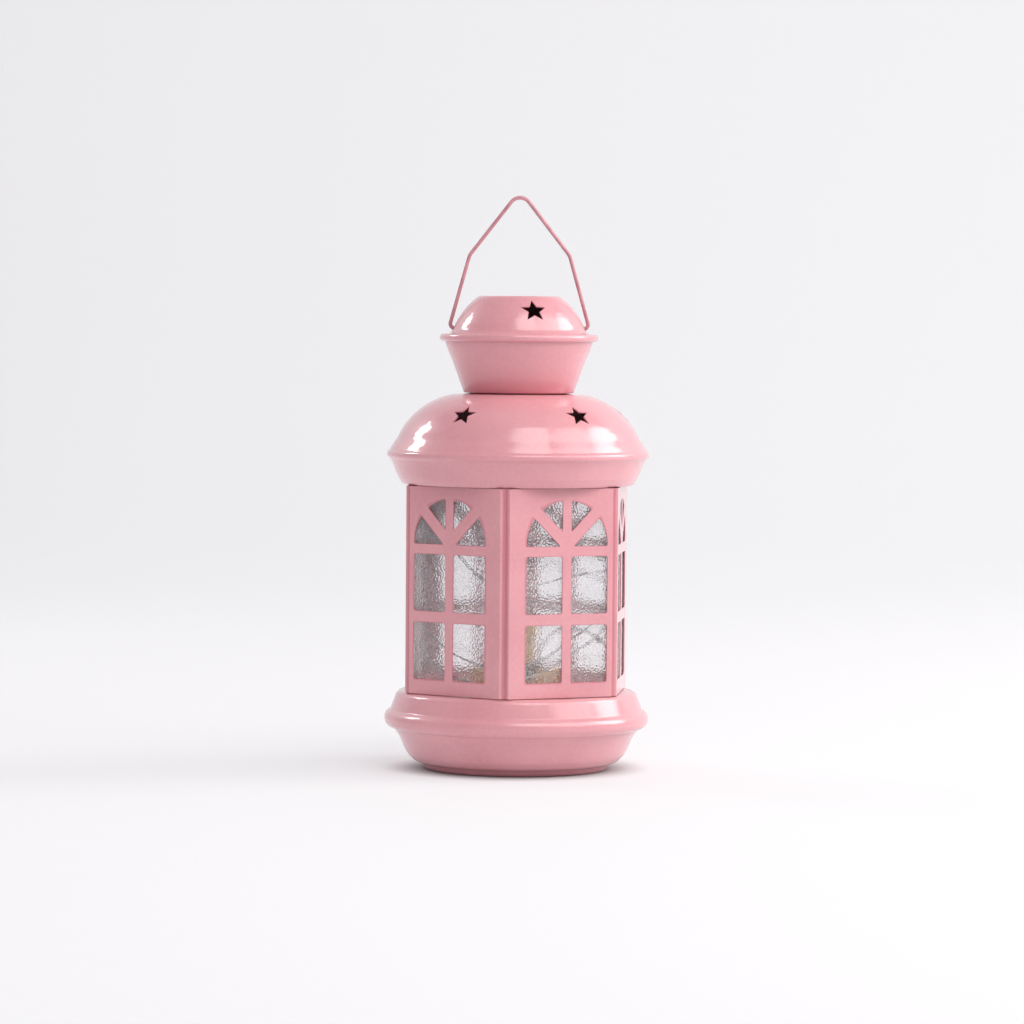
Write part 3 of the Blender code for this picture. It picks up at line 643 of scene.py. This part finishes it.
brass, tree, shader = plain_finish("brass_tin", (0.75, 0.5, 0.17), 0.3, Metallic=1.0)
stain = cloud(tree, 7.0, 4.0)
coloured(tree, shader, ranged(tree, stain, 0.35, 0.7, 0, 1), (0.80, 0.56, 0.22), (0.58, 0.36, 0.11))
roughened(tree, shader, stain, 0.22, 0.42)
raised(tree, shader, [(cloud(tree, 0.8), 0.01), (cloud(tree, 12.0), 0.15)])


def make_cup():
    """A dish whose wall rises from 38 to 45.3 mm by the smooth step of 0.5 + 0.85 cos 3a."""
    turns = even_turns(0, 180)
    floor = softened([(2.3, CUP_BOTTOM), (CUP_RADIUS, CUP_BOTTOM), (CUP_RADIUS, 37.0)], 0.7)
    rows = profile_steps(floor, 1.6)
    lobe = np.clip(0.5 + 0.85 * np.cos(3 * np.radians(turns - 50.0)), 0, 1)
    top = 38.0 + 7.3 * lobe * lobe * (3 - 2 * lobe)
    a, s = np.meshgrid(turns, rows)
    base = on_turned(floor, a, s)
    rise = np.linspace(0, 1, 9)[1:, None]
    wall = np.concatenate(
        [
            plan_points(np.tile(turns, (8, 1)), CUP_RADIUS),
            (37.0 + rise * (top - 37.0))[..., None],
        ],
        axis=-1,
    )
    points = np.concatenate([base, wall]).reshape(-1, 3)
    return points, grid_faces(len(rows) + 8, len(turns), closed=True).tolist()


thicken(make_piece("candle_cup_dish", *make_cup(), brass, "base", "brass_tin", ["candle_cup"]), 0.5, 0.08)
rivet_profile = softened(
    [(0, 33.0), (3.4, 33.0), (3.6, 33.8), (2.0, 33.8), (2.0, 35.8), (3.8, 35.8), (3.2, 36.5), (0, 36.8)],
    0.15,
    0.05,
)
points, faces, _ = turned(rivet_profile, 0.5, 20, 40)
make_piece("cup_rivet_head", points, faces, brass, "base", "brass_tin", ["cup_rivet"])


# --- Battery holder. An upright barrel in a tan cork-patterned shell over three button cells, with a dark
# push-on end cap, a white slide switch in a slot on top and a small grommet where the cord leaves.
BATTERY_PLACE = np.array([-1.2, -2.0, 0.0])
SLOT_HALF = (4.5, 2.0)

cork, tree, shader = plain_finish("cork_shell", (0.6, 0.4, 0.2), 0.6)
crumbs = cloud(tree, 1.4, 4.0)
patches = cloud(tree, 5.0, 2.0)
light_cork = blended(tree, ranged(tree, patches, 0.3, 0.7, 0, 1), (0.66, 0.45, 0.20), (0.52, 0.33, 0.13))
coloured(tree, shader, ranged(tree, crumbs, 0.52, 0.66, 0, 0.8), light_cork, (0.25, 0.13, 0.05))
roughened(tree, shader, crumbs, 0.5, 0.75)
raised(tree, shader, [(crumbs, 0.12)])

dark, tree, shader = plain_finish("dark_plastic", (0.09, 0.06, 0.055), 0.4)
coloured(tree, shader, cloud(tree, 3.0, 3.0), (0.07, 0.045, 0.04), (0.12, 0.085, 0.075))
raised(tree, shader, [(cloud(tree, 0.4), 0.015)])

white, tree, shader = plain_finish("white_plastic", (0.84, 0.83, 0.8), 0.35)
coloured(tree, shader, cloud(tree, 2.0, 3.0), (0.78, 0.77, 0.73), (0.88, 0.87, 0.85))
raised(tree, shader, [(cloud(tree, 0.5), 0.01)])

steel, tree, shader = plain_finish("cell_steel", (0.62, 0.62, 0.63), 0.28, Metallic=1.0)
brushed = cloud(tree, 3.0, 4.0, stretch=(1.0, 1.0, 9.0))
coloured(tree, shader, brushed, (0.52, 0.52, 0.53), (0.72, 0.72, 0.73))
roughened(tree, shader, brushed, 0.2, 0.4)


def make_barrel():
    """Rings whose outline goes from a circle, up the outside, to the slot's rounded rectangle in the top."""
    outer = softened(
        [(6.6, 64.9), (6.6, 46.8), (9.1, 46.8), (9.7, 58.0), (9.7, 64.6), (9.2, 65.9), (8.2, 66.5)], 0.25
    )
    outer = line_at(outer, profile_steps(outer, 1.2, 12))
    angle = np.radians(np.arange(0, 360, 3.0))
    slot = slot_outline(*SLOT_HALF)[0](angle)
    circle = np.ones_like(angle)
    share = np.array([0.4, 0.75, 0.96, 1.0])[:, None]
    radii = np.vstack(
        [
            0.01 * circle,
            outer[:, :1] * circle,
            8.2 + share * (slot - 8.2),
            slot * 0.985,
            slot * 0.98,
            slot * 0.5,
            0.01 * circle,
        ]
    )
    heights = np.concatenate([[64.9], outer[:, 1], [66.5, 66.5, 66.5, 66.48], [66.4, 65.5, 65.5, 65.5]])
    points = np.stack(
        [radii * np.cos(angle), radii * np.sin(angle), np.tile(heights[:, None], (1, len(angle)))], axis=-1
    )
    return points.reshape(-1, 3) + BATTERY_PLACE, grid_faces(*radii.shape, closed=True).tolist()


make_piece("battery_barrel_shell", *make_barrel(), cork, "base", "cork_shell", ["battery_barrel"])

end_profile = softened(
    [(0, 37.2), (7.9, 37.2), (8.6, 38.0), (8.6, 39.0), (8.4, 39.2), (8.4, 39.6), (8.6, 39.8), (8.6, 43.4)]
    + [(8.4, 43.6), (8.4, 44.0), (8.6, 44.2), (8.6, 46.1), (8.2, 46.5), (0, 46.5)],
    0.12,
    0.05,
)
points, faces, _ = turned(end_profile, 1.0, 20, 96)
make_piece("battery_end_cap", points + BATTERY_PLACE, faces, dark, "base", "dark_plastic", ["battery_cap"])

grommet_profile = softened(
    [(0, 8.4), (1.0, 8.4), (1.0, 8.9), (1.7, 8.9), (1.7, 9.5), (0.9, 10.3), (0, 10.3)], 0.1, 0.04
)
points, faces, _ = turned(grommet_profile, 0.4, 20, 32)
points = points[:, [2, 0, 1]] + BATTERY_PLACE + (0, 0, 41.0)
make_piece("cord_grommet", points, faces, dark, "base", "dark_plastic", ["lead_grommet"])


def make_switch():
    """A ridged slider: its side outline, three ridges on top, carried across its width."""
    x = np.linspace(-1.7, 1.7, 41)
    ridges = 1.45 + 0.35 * (0.5 + 0.5 * np.cos(2 * np.pi * x / 1.0)) * (np.abs(x) < 1.5)
    outline = np.vstack([[(-1.7, 0.0)], np.stack([x, ridges], axis=1), [(1.7, 0.0)]])
    count = len(outline)
    sides = np.linspace(-1.5, 1.5, 3)
    points = np.array([[(px, y, pz) for px, pz in outline] for y in sides]).reshape(-1, 3)
    faces = grid_faces(3, count, closed=True)[:, ::-1].tolist()
    faces += [list(range(count)), list(range(2 * count, 3 * count))[::-1]]
    return points, faces


low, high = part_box("power_switch")
switch_place = np.array([(low[0] + high[0]) / 2, (low[1] + high[1]) / 2, low[2]]) / MM
points, faces = make_switch()
points = points + switch_place
make_piece("power_switch_knob", points, faces, white, "switch", "white_plastic", ["power_switch"])

for k in range(3):
    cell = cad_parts[f"button_cell_{k + 1}"]
    cell.data.materials.clear()
    cell.data.materials.append(steel)


# --- Walls. Three sheets of 0.5 mm tin, each folded once into two walls of a regular hexagon, with an arched
# window punched in each wall. Every corner carries a pressed V groove; at three of them two sheets meet.
WALL_APOTHEM = 46.8
WALL_SHEET = 0.5
WALL_BOTTOM = 35.0
WALL_TOP = 126.2
FRONT_CORNER = -6.0
CORNER_RADIUS = 5.0
GROOVE_WIDTH = 3.4
GROOVE_DEPTH = 1.4
WINDOW_HALF = 19.4
SEAM_MARGIN = 4.8
PANE_ROWS = ((41.6, 66.7), (71.6, 96.7))
FAN_SILL = 101.1
FAN_HUB = 101.6
CELL_HEIGHTS = (WALL_BOTTOM, 69.15, 98.9, WALL_TOP)
MULLION_HALF = 2.15
SPOKE_HALF = 2.6
PANE_CORNER = 1.1
SIDE_STEPS = 24
side_share = 0.5 - 0.5 * np.cos(np.pi * np.arange(SIDE_STEPS) / SIDE_STEPS)


def turn_plan(points, angle):
    """Plan points moved from the front, -Y, to a plan angle."""
    turn = math.radians(angle)
    spin = np.array([[math.cos(turn), math.sin(turn)], [-math.sin(turn), math.cos(turn)]])
    return np.asarray(points, float) @ spin


def corner_line(angle, part):
    """The plan line round a corner: a rounded edge into a V groove 3.4 mm wide with broad soft lips."""
    centre = (WALL_APOTHEM - CORNER_RADIUS) / math.cos(math.radians(30))
    lip = math.degrees(math.asin(GROOVE_WIDTH / 2 / CORNER_RADIUS))
    turn = np.radians(np.linspace(-30, -lip, 9))
    line = np.stack([CORNER_RADIUS * np.sin(turn), -centre - CORNER_RADIUS * np.cos(turn)], axis=1)
    bottom = (0.0, line[-1, 1] + GROOVE_DEPTH + 0.6)
    mirror = line[::-1] * (-1, 1)
    whole = softened(np.vstack([line, [bottom], mirror]), 1.3, 0.05)
    whole = line_at(whole, profile_steps(whole, 0.8, 9))
    if part == "first":
        whole = np.vstack([whole[whole[:, 0] < -0.16], [(-0.15, bottom[1] - 0.7)]])
    if part == "second":
        whole = np.vstack([[(0.15, bottom[1] - 0.7)], whole[whole[:, 0] > 0.16]])
    return turn_plan(whole, angle)


def hole_ring(sides):
    """One hole's edge from its sides in order: even shares of each side, with the corners averaged round."""
    lengths = np.array([distances(side)[-1] for side in sides])
    line = np.vstack([side[:-1] for side in sides] + [sides[0][:1]])
    starts = np.concatenate([[0], np.cumsum(lengths)[:-1]])
    places = (starts[:, None] + lengths[:, None] * side_share).ravel()
    spread = places[:, None] + PANE_CORNER * np.linspace(-1, 1, 15)
    run = distances(line)
    eased = [np.interp(spread, run, line[:, k], period=run[-1]).mean(axis=1) for k in (0, 1)]
    return np.stack(eased, axis=1)


def cell_ring(corners):
    """The edge of the piece of wall round one hole, with the same shares on each side."""
    corners = np.asarray(corners, float)
    after = np.roll(corners, -1, axis=0)
    return (corners[:, None] + (after - corners)[:, None] * side_share[:, None]).reshape(-1, 2)


def fan_arc(start, end):
    """The fan light's outer arc between two angles above level."""
    turn = np.radians(np.linspace(start, end, 30))
    return np.stack([WINDOW_HALF * np.cos(turn), FAN_HUB + WINDOW_HALF * np.sin(turn)], axis=1)


def half_window(limit):
    """(cell edge, hole edge) pairs of the right half of a wall, from the mullion's middle to a limit."""
    pairs = []
    for (low, high), bottom, top in zip(PANE_ROWS, CELL_HEIGHTS, CELL_HEIGHTS[1:]):
        box = [(MULLION_HALF, low), (WINDOW_HALF, low), (WINDOW_HALF, high), (MULLION_HALF, high)]
        sides = [np.array([a, b], float) for a, b in zip(box, box[1:] + box[:1])]
        pairs.append((cell_ring([(0, bottom), (limit, bottom), (limit, top), (0, top)]), hole_ring(sides)))
    spoke = SPOKE_HALF * math.sqrt(2)
    rim = math.degrees(math.asin(SPOKE_HALF / WINDOW_HALF))
    low_arc = fan_arc(math.degrees(math.asin((FAN_SILL - FAN_HUB) / WINDOW_HALF)), 45 - rim)
    high_arc = fan_arc(45 + rim, math.degrees(math.acos(MULLION_HALF / WINDOW_HALF)))
    toe = np.array([spoke + FAN_SILL - FAN_HUB, FAN_SILL])
    sides = [np.array([toe, low_arc[0]]), low_arc, np.array([low_arc[-1], toe + (0.05, 0.05)])]
    sides.append(np.array([toe + (0.05, 0.05), toe]))
    cell = [(0, CELL_HEIGHTS[2]), (limit, CELL_HEIGHTS[2]), (limit, WALL_TOP), (0, FAN_HUB)]
    pairs.append((cell_ring(cell), hole_ring(sides)))
    toe = np.array([MULLION_HALF, FAN_HUB + MULLION_HALF + spoke])
    sides = [np.array([toe, high_arc[0]]), high_arc, np.array([high_arc[-1], toe])]
    pairs.append((cell_ring([(0, FAN_HUB), (limit, WALL_TOP), (0, WALL_TOP)]), hole_ring(sides)))
    return pairs


def wall_flat(start, end, centre):
    """One flat wall between two plan points as (distance along it, height) rings round its eight panes."""
    width = float(np.linalg.norm(end - start))
    along = (end - start) / width
    shares = np.array([0, 0.3, 0.62, 0.85, 0.95, 1.0])
    shapes, wear = [], []
    for sign, limit in ((1, width - centre), (-1, centre)):
        for cell, hole in half_window(limit):
            rings = cell + (hole - cell) * shares[:, None, None]
            u, z = centre + sign * rings[..., 0], rings[..., 1]
            plan = start + u[..., None] * along
            points = np.concatenate([plan, z[..., None]], axis=-1).reshape(-1, 3)
            faces = grid_faces(*z.shape, closed=True)[:, ::sign]
            shapes.append((points, faces.tolist()))
            wear.append(np.repeat(np.where(shares > 0.9, 1.0, 0.0), z.shape[1]))
    return shapes, wear


def groove_wear(line):
    """Painted shade: 1 at the bottom of a V groove, falling to 0 at 1.5 mm from it."""
    sharp = WALL_APOTHEM / math.cos(math.radians(30))
    bottoms = plan_points(FRONT_CORNER + 60 * np.arange(6), sharp - 2.1)
    return np.clip(1.7 - np.linalg.norm(line[:, None] - bottoms, axis=2).min(axis=1), 0, 1)


def corner_strip(line):
    """A corner's plan line carried up the wall, with the same heights as the flat walls' edges."""
    heights = [low + (high - low) * side_share for low, high in zip(CELL_HEIGHTS, CELL_HEIGHTS[1:])]
    heights = np.concatenate([*heights, [WALL_TOP]])
    levels = np.repeat(heights, len(line)).reshape(-1, len(line), 1)
    points = np.concatenate([np.tile(line, (len(heights), 1, 1)), levels], axis=-1)
    shape = (points.reshape(-1, 3), grid_faces(len(heights), len(line)).tolist())
    return shape, np.tile(groove_wear(line), len(heights))


def make_wall(angle):
    """A folded sheet: half a corner, a flat wall, the folded corner, a flat wall and half a corner."""
    lines = [corner_line(angle - 60, "second"), corner_line(angle, "both"), corner_line(angle + 60, "first")]
    shapes, wear = (list(some) for some in zip(*(corner_strip(line) for line in lines)))
    side = 2 * WALL_APOTHEM * math.tan(math.radians(30))
    for left, right, seam_first in ((lines[0], lines[1], True), (lines[1], lines[2], False)):
        width = float(np.linalg.norm(right[0] - left[-1]))
        seam = SEAM_MARGIN + WINDOW_HALF - (side - width) / 2
        some, worn_and_shaded = wall_flat(left[-1], right[0], seam if seam_first else width - seam)
        shapes += some
        wear += worn_and_shaded
    return *join(shapes), np.concatenate(wear)


for k, node in enumerate(["wall_front", "wall_right", "wall_left"]):
    points, faces, wear = make_wall(FRONT_CORNER + 120 * k)
    made = make_piece(f"{node}_sheet", points, faces, enamel, "housing", "pink_enamel", [node], wear, 50)
    thicken(made, WALL_SHEET)


# --- Panes. Six sheets of clear pebbled glass, 2 mm thick, one behind each window. The outer face is rolled
# with granules less than a millimetre across; the inner face is smooth.
PANE_OUTSIDE = 46.0
PANE_THICKNESS = 2.0
PANE_WIDTH = 48.4
PANE_HEIGHTS = (36.1, 124.8)
PEBBLE_SIZE = 0.7
PEBBLE_HEIGHT = 0.1

glass, tree, shader = plain_finish(
    "pebbled_glass", (0.97, 0.96, 0.97), 0.0, IOR=1.46, Transmission_Weight=0.92
)
grain = ranged(tree, cloud(tree, 0.9, 1.0), 0.38, 0.6, 0.82, 0.98)
tree.links.new(grain, shader.inputs["Transmission Weight"])
shadow_ray = add_node(tree, "LightPath")["Is Shadow Ray"]
clear = add_node(tree, "BsdfTransparent", {"Color": (0.93, 0.94, 0.94)})["BSDF"]
surfaced(tree, add_node(tree, "MixShader", {0: shadow_ray, 1: shader.outputs["BSDF"], 2: clear})["Shader"])


def pebbles(rows, columns, step, seed):
    """Granule heights from 0 to 1: white noise blurred to the granule size by a Gaussian in frequency."""
    noise = np.random.default_rng(seed).normal(size=(rows, columns))
    across, up = np.fft.fftfreq(columns, step), np.fft.fftfreq(rows, step)
    frequency = np.hypot(*np.meshgrid(across, up))
    band = np.exp(-(((frequency - 1 / (1.7 * PEBBLE_SIZE)) / (0.32 / PEBBLE_SIZE)) ** 2))
    heights = np.fft.ifft2(np.fft.fft2(noise) * band).real
    heights /= heights.std()
    return 0.5 + 0.5 * np.tanh(0.8 * heights)


def make_pane(k):
    """A slab whose outer face is a grid lowered by the granule heights; its back is one flat face."""
    low, high = PANE_HEIGHTS
    columns, rows = 151, 277
    x = np.linspace(-PANE_WIDTH / 2, PANE_WIDTH / 2, columns)
    z = np.linspace(low, high, rows)
    heights = pebbles(rows, columns, PANE_WIDTH / (columns - 1), 40 + k)
    edge = np.minimum.outer(np.minimum(z - low, high - z), PANE_WIDTH / 2 - np.abs(x))
    sunk = PEBBLE_HEIGHT * (1 - heights * np.clip(edge / 0.8, 0, 1))
    level = np.tile(z[:, None], (1, columns))
    front = np.stack([np.tile(x, (rows, 1)), -PANE_OUTSIDE + sunk, level], axis=-1).reshape(-1, 3)
    grid = np.arange(rows * columns).reshape(rows, columns)
    rim = np.concatenate([grid[0, :-1], grid[:-1, -1], grid[-1, :0:-1], grid[:0:-1, 0]])
    back = front[rim] * (1, 0, 1) + (0, PANE_THICKNESS - PANE_OUTSIDE, 0)
    first = len(front)
    numbers = first + np.arange(len(rim))
    sides = np.stack([np.roll(rim, -1), rim, numbers, np.roll(numbers, -1)], axis=-1)
    faces = grid_faces(rows, columns).tolist() + sides.tolist() + [numbers[::-1].tolist()]
    points = np.vstack([front, back])
    points[:, :2] = turn_plan(points[:, :2], FRONT_CORNER + 30 + 60 * k)
    return points, faces


for k in range(6):
    node = f"glass_pane_{k + 1}"
    make_piece(f"window_pane_{k + 1}", *make_pane(k), glass, "housing", "pebbled_glass", [node])


# --- Frames. Two bent angle strips inside the walls, the lower with three lugs that drop into the deck's
# slots. They hold the panes top and bottom and are painted with the walls.
for node in ("sill_frame", "head_frame"):
    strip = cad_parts[node]
    strip.data.materials.clear()
    strip.data.materials.append(enamel)


# --- Roof. One deep pressing: a flared skirt that covers the walls' top, a rolled bead and a dome, punched
# with five five-pointed stars that let the warm air out. Its inside is lined with near-black painted shade.
ROOF_CENTRE = (23.0, 133.3)
ROOF_RADIUS = 33.7
ROOF_STARS = (-31.5, 34.5, 88.5, 178.5, 241.5)
STAR_RADIUS = 6.0
STAR_WAIST = 0.43

# Painted shade: a near-black lining, mottled a little, on the inner faces of the roof, chimney and cap,
# where the inside lies in shade.
shade_lining, tree, shader = plain_finish("painted_shade_lining", (0.07, 0.02, 0.025), 0.55)
shade_mottle = ranged(tree, cloud(tree, 12.0, 3.0), 0.3, 0.7, 0, 1)
coloured(tree, shader, shade_mottle, (0.045, 0.014, 0.018), (0.12, 0.035, 0.042))


def star_outline(radius, waist):
    """The polar form of a five-pointed star: straight edges from each tip to the inner corners beside it."""
    inner = radius * waist
    step = math.radians(36)

    def radius_at(angle):
        side = (angle - np.pi / 2) % (2 * step)
        side = np.minimum(side, 2 * step - side)
        return radius * inner * np.sin(step) / (radius * np.sin(side) + inner * np.sin(step - side))

    return radius_at, 90.0 + 36.0 * np.arange(10)


STAR = star_outline(STAR_RADIUS, STAR_WAIST)


def place_nearest(line, radius, height):
    """Distance along a profile of its point nearest to a given radius and height."""
    return float(distances(line)[np.linalg.norm(line - (radius, height), axis=1).argmin()])


def on_arc(centre, radius, angle):
    """Radius and height of a point on a profile arc."""
    turn = math.radians(angle)
    return centre[0] + radius * math.cos(turn), centre[1] + radius * math.sin(turn)


roof_profile = softened(
    np.vstack(
        [
            [(49.6, 126.5), (51.3, 126.5), (52.0, 127.3), (53.6, 130.0), (55.6, 135.3)],
            arc((56.4, 139.8), 2.0, -70, 66),
            [(55.9, 143.9)],
            arc(ROOF_CENTRE, ROOF_RADIUS, 24, 80),
            [(22.0, 166.8)],
        ]
    ),
    0.45,
)
star_radius, star_height = on_arc(ROOF_CENTRE, ROOF_RADIUS, 47)
star_place = place_nearest(roof_profile, star_radius, star_height)
star_half = 7.4
points, faces, wear = turned_skin(
    roof_profile,
    banded_rows(roof_profile, [(star_place, star_half, 20)], 1.3, 9),
    even_turns(-60, 180, [(turn, math.degrees(star_half / star_radius), 20) for turn in ROOF_STARS]),
    [(turn, star_place, star_half, star_half, STAR) for turn in ROOF_STARS],
)
# Painted shade: the enamel darkens towards the neck, within a few millimetres outside 24 mm from the axis.
wear = np.maximum(wear, 0.7 * np.exp(-np.clip(np.hypot(points[:, 0], points[:, 1]) - 24.0, 0, 99) / 2.5))
pressed("roof_pressing", "roof_dome", "housing", (points, faces, wear), shade_lining)


# --- Chimney. An inverted cone of the same tin, its foot turned in and pinched onto the roof's opening.
chimney_profile = softened(
    [(22.6, 167.1), (24.4, 167.1), (29.7, 181.6), (32.0, 187.0), (32.8, 189.2), (33.0, 191.2)], 0.5
)
points, faces, wear = turned(chimney_profile, 1.2, 8, 180)
# Painted shade: the enamel darkens towards the chimney's foot, fading over about 9 mm above 168 mm.
wear = np.maximum(wear, np.exp(-np.clip(points[:, 2] - 168.0, 0, 99) / 9.0))
# The chimney's inside takes the painted-shade lining too.
pressed("chimney_pressing", "chimney_cone", "housing", (points, faces, wear), shade_lining)


# --- Cap. A shallow dome with a flat top and a rolled rim that closes over the chimney, punched with three
# stars and with two round holes that the handle hooks into.
CAP_CENTRE = (-1.8, 182.85)
CAP_RADIUS = 33.6
PIVOT_HEIGHT = 195.6
CAP_STARS = (15.0, 135.0, 255.0)
PIVOT_TURNS = (90.0, 270.0)

cap_profile = softened(
    np.vstack(
        [
            arc((33.55, 191.5), 1.73, -76, 100),
            [(31.0, 193.5)],
            arc(CAP_CENTRE, CAP_RADIUS, 21, 52),
            [(17.6, 209.97), (0, 209.97)],
        ]
    ),
    0.5,
)
star_radius, star_height = on_arc(CAP_CENTRE, CAP_RADIUS, 38.2)
star_place = place_nearest(cap_profile, star_radius, star_height)
star_half = 6.7
hole_place = place_nearest(cap_profile, 29.3, PIVOT_HEIGHT)
hole_radius = float(line_at(cap_profile, hole_place)[0])
hole_half = 2.3
cap_windows = [(turn, math.degrees(star_half / star_radius), 28) for turn in CAP_STARS]
hole_windows = [(turn, math.degrees(hole_half / hole_radius), 8) for turn in PIVOT_TURNS]


def cap_turns():
    """Plan angles every 2 degrees or so, with one at both sides of every star's and hole's window."""
    windows = cap_windows + hole_windows
    edges = [(middle - half, middle + half, half * 2 / steps) for middle, half, steps in windows]
    fine = [np.arange(low, high + step / 2, step) for low, high, step in edges]
    turns = np.sort(np.concatenate([np.arange(-30.0, 330.0, 2.0), *fine]))
    exact = np.array([limit for low, high, _ in edges for limit in (low, high)])
    turns = turns[np.abs(turns[:, None] - exact).min(axis=1) > 0.45]
    turns = turns[np.concatenate([[True], np.diff(turns) > 0.4])]
    return np.sort(np.concatenate([turns, exact]))


round_hole = (lambda angle: np.full_like(angle, 1.5), np.array([]))
points, faces, wear = turned_skin(
    cap_profile,
    banded_rows(cap_profile, [(star_place, star_half, 22), (hole_place, hole_half, 8)], 1.3, 9),
    cap_turns(),
    [(turn, star_place, star_half, star_half, STAR) for turn in CAP_STARS]
    + [(turn, hole_place, hole_half, hole_half, round_hole) for turn in PIVOT_TURNS],
)
# The cap's inside takes the painted-shade lining too.
pressed("cap_pressing", "cap_dome", "housing", (points, faces, wear), shade_lining)


# --- Handle. A bail of 1.7 mm wire dipped in the same enamel: short hooks through the cap's holes, two
# straight legs that lean in, and a softly bent peak.
HANDLE_CORNERS = [
    (24.0, 199.2), (24.6, 195.6), (31.2, 195.6), (22.2, 228.0), (0.0, 256.75),
    (-22.2, 228.0), (-31.2, 195.6), (-24.6, 195.6), (-24.0, 199.2),
]
HANDLE_BENDS = [1.6, 2.0, 6.0, 5.0, 6.0, 2.0, 1.6]
WIRE_RADIUS = 0.84

dipped, tree, shader = plain_finish(
    "dipped_enamel", (0.6, 0.26, 0.3), 0.42, Coat_Weight=0.25, Coat_Roughness=0.15
)
runs = cloud(tree, 5.0, 3.0)
coloured(tree, shader, ranged(tree, runs, 0.3, 0.7, 0, 1), (0.50, 0.20, 0.24), (0.66, 0.31, 0.35))
roughened(tree, shader, runs, 0.36, 0.5)
raised(tree, shader, [(cloud(tree, 2.0), 0.03)], coat=True)


def bent_wire(corners, radii):
    """A line through corners, each replaced by an arc that touches both its sides."""
    corners = np.array(corners, float)
    line = [corners[0]]
    for before, corner, after, radius in zip(corners, corners[1:], corners[2:], radii):
        into = (corner - before) / np.linalg.norm(corner - before)
        out = (after - corner) / np.linalg.norm(after - corner)
        turn = math.acos(float(into @ out))
        inward = (out - into * float(into @ out)) / math.sin(turn)
        t = np.linspace(0, turn, 13)[:, None]
        start = corner - into * radius * math.tan(turn / 2)
        line += list(start + radius * (into * np.sin(t) + inward * (1 - np.cos(t))))
    return np.array([*line, corners[-1]])


def make_handle():
    """Circles of the wire's radius carried along it."""
    line = bent_wire(HANDLE_CORNERS, HANDLE_BENDS)
    run = distances(line)
    places = np.unique(np.concatenate([run, np.arange(0, run[-1], 2.5)]).round(4))
    line = line_at(line, places)
    line = np.stack([line[:, 0], np.zeros(len(line)), line[:, 1]], axis=1)
    points, _, _ = tube_points(line, WIRE_RADIUS, 20, steady=(0.0, 1.0, 0.0))
    return points, tube_faces(len(line), 20)


make_piece("handle_wire", *make_handle(), dipped, "bail", "pink_enamel", ["handle"])
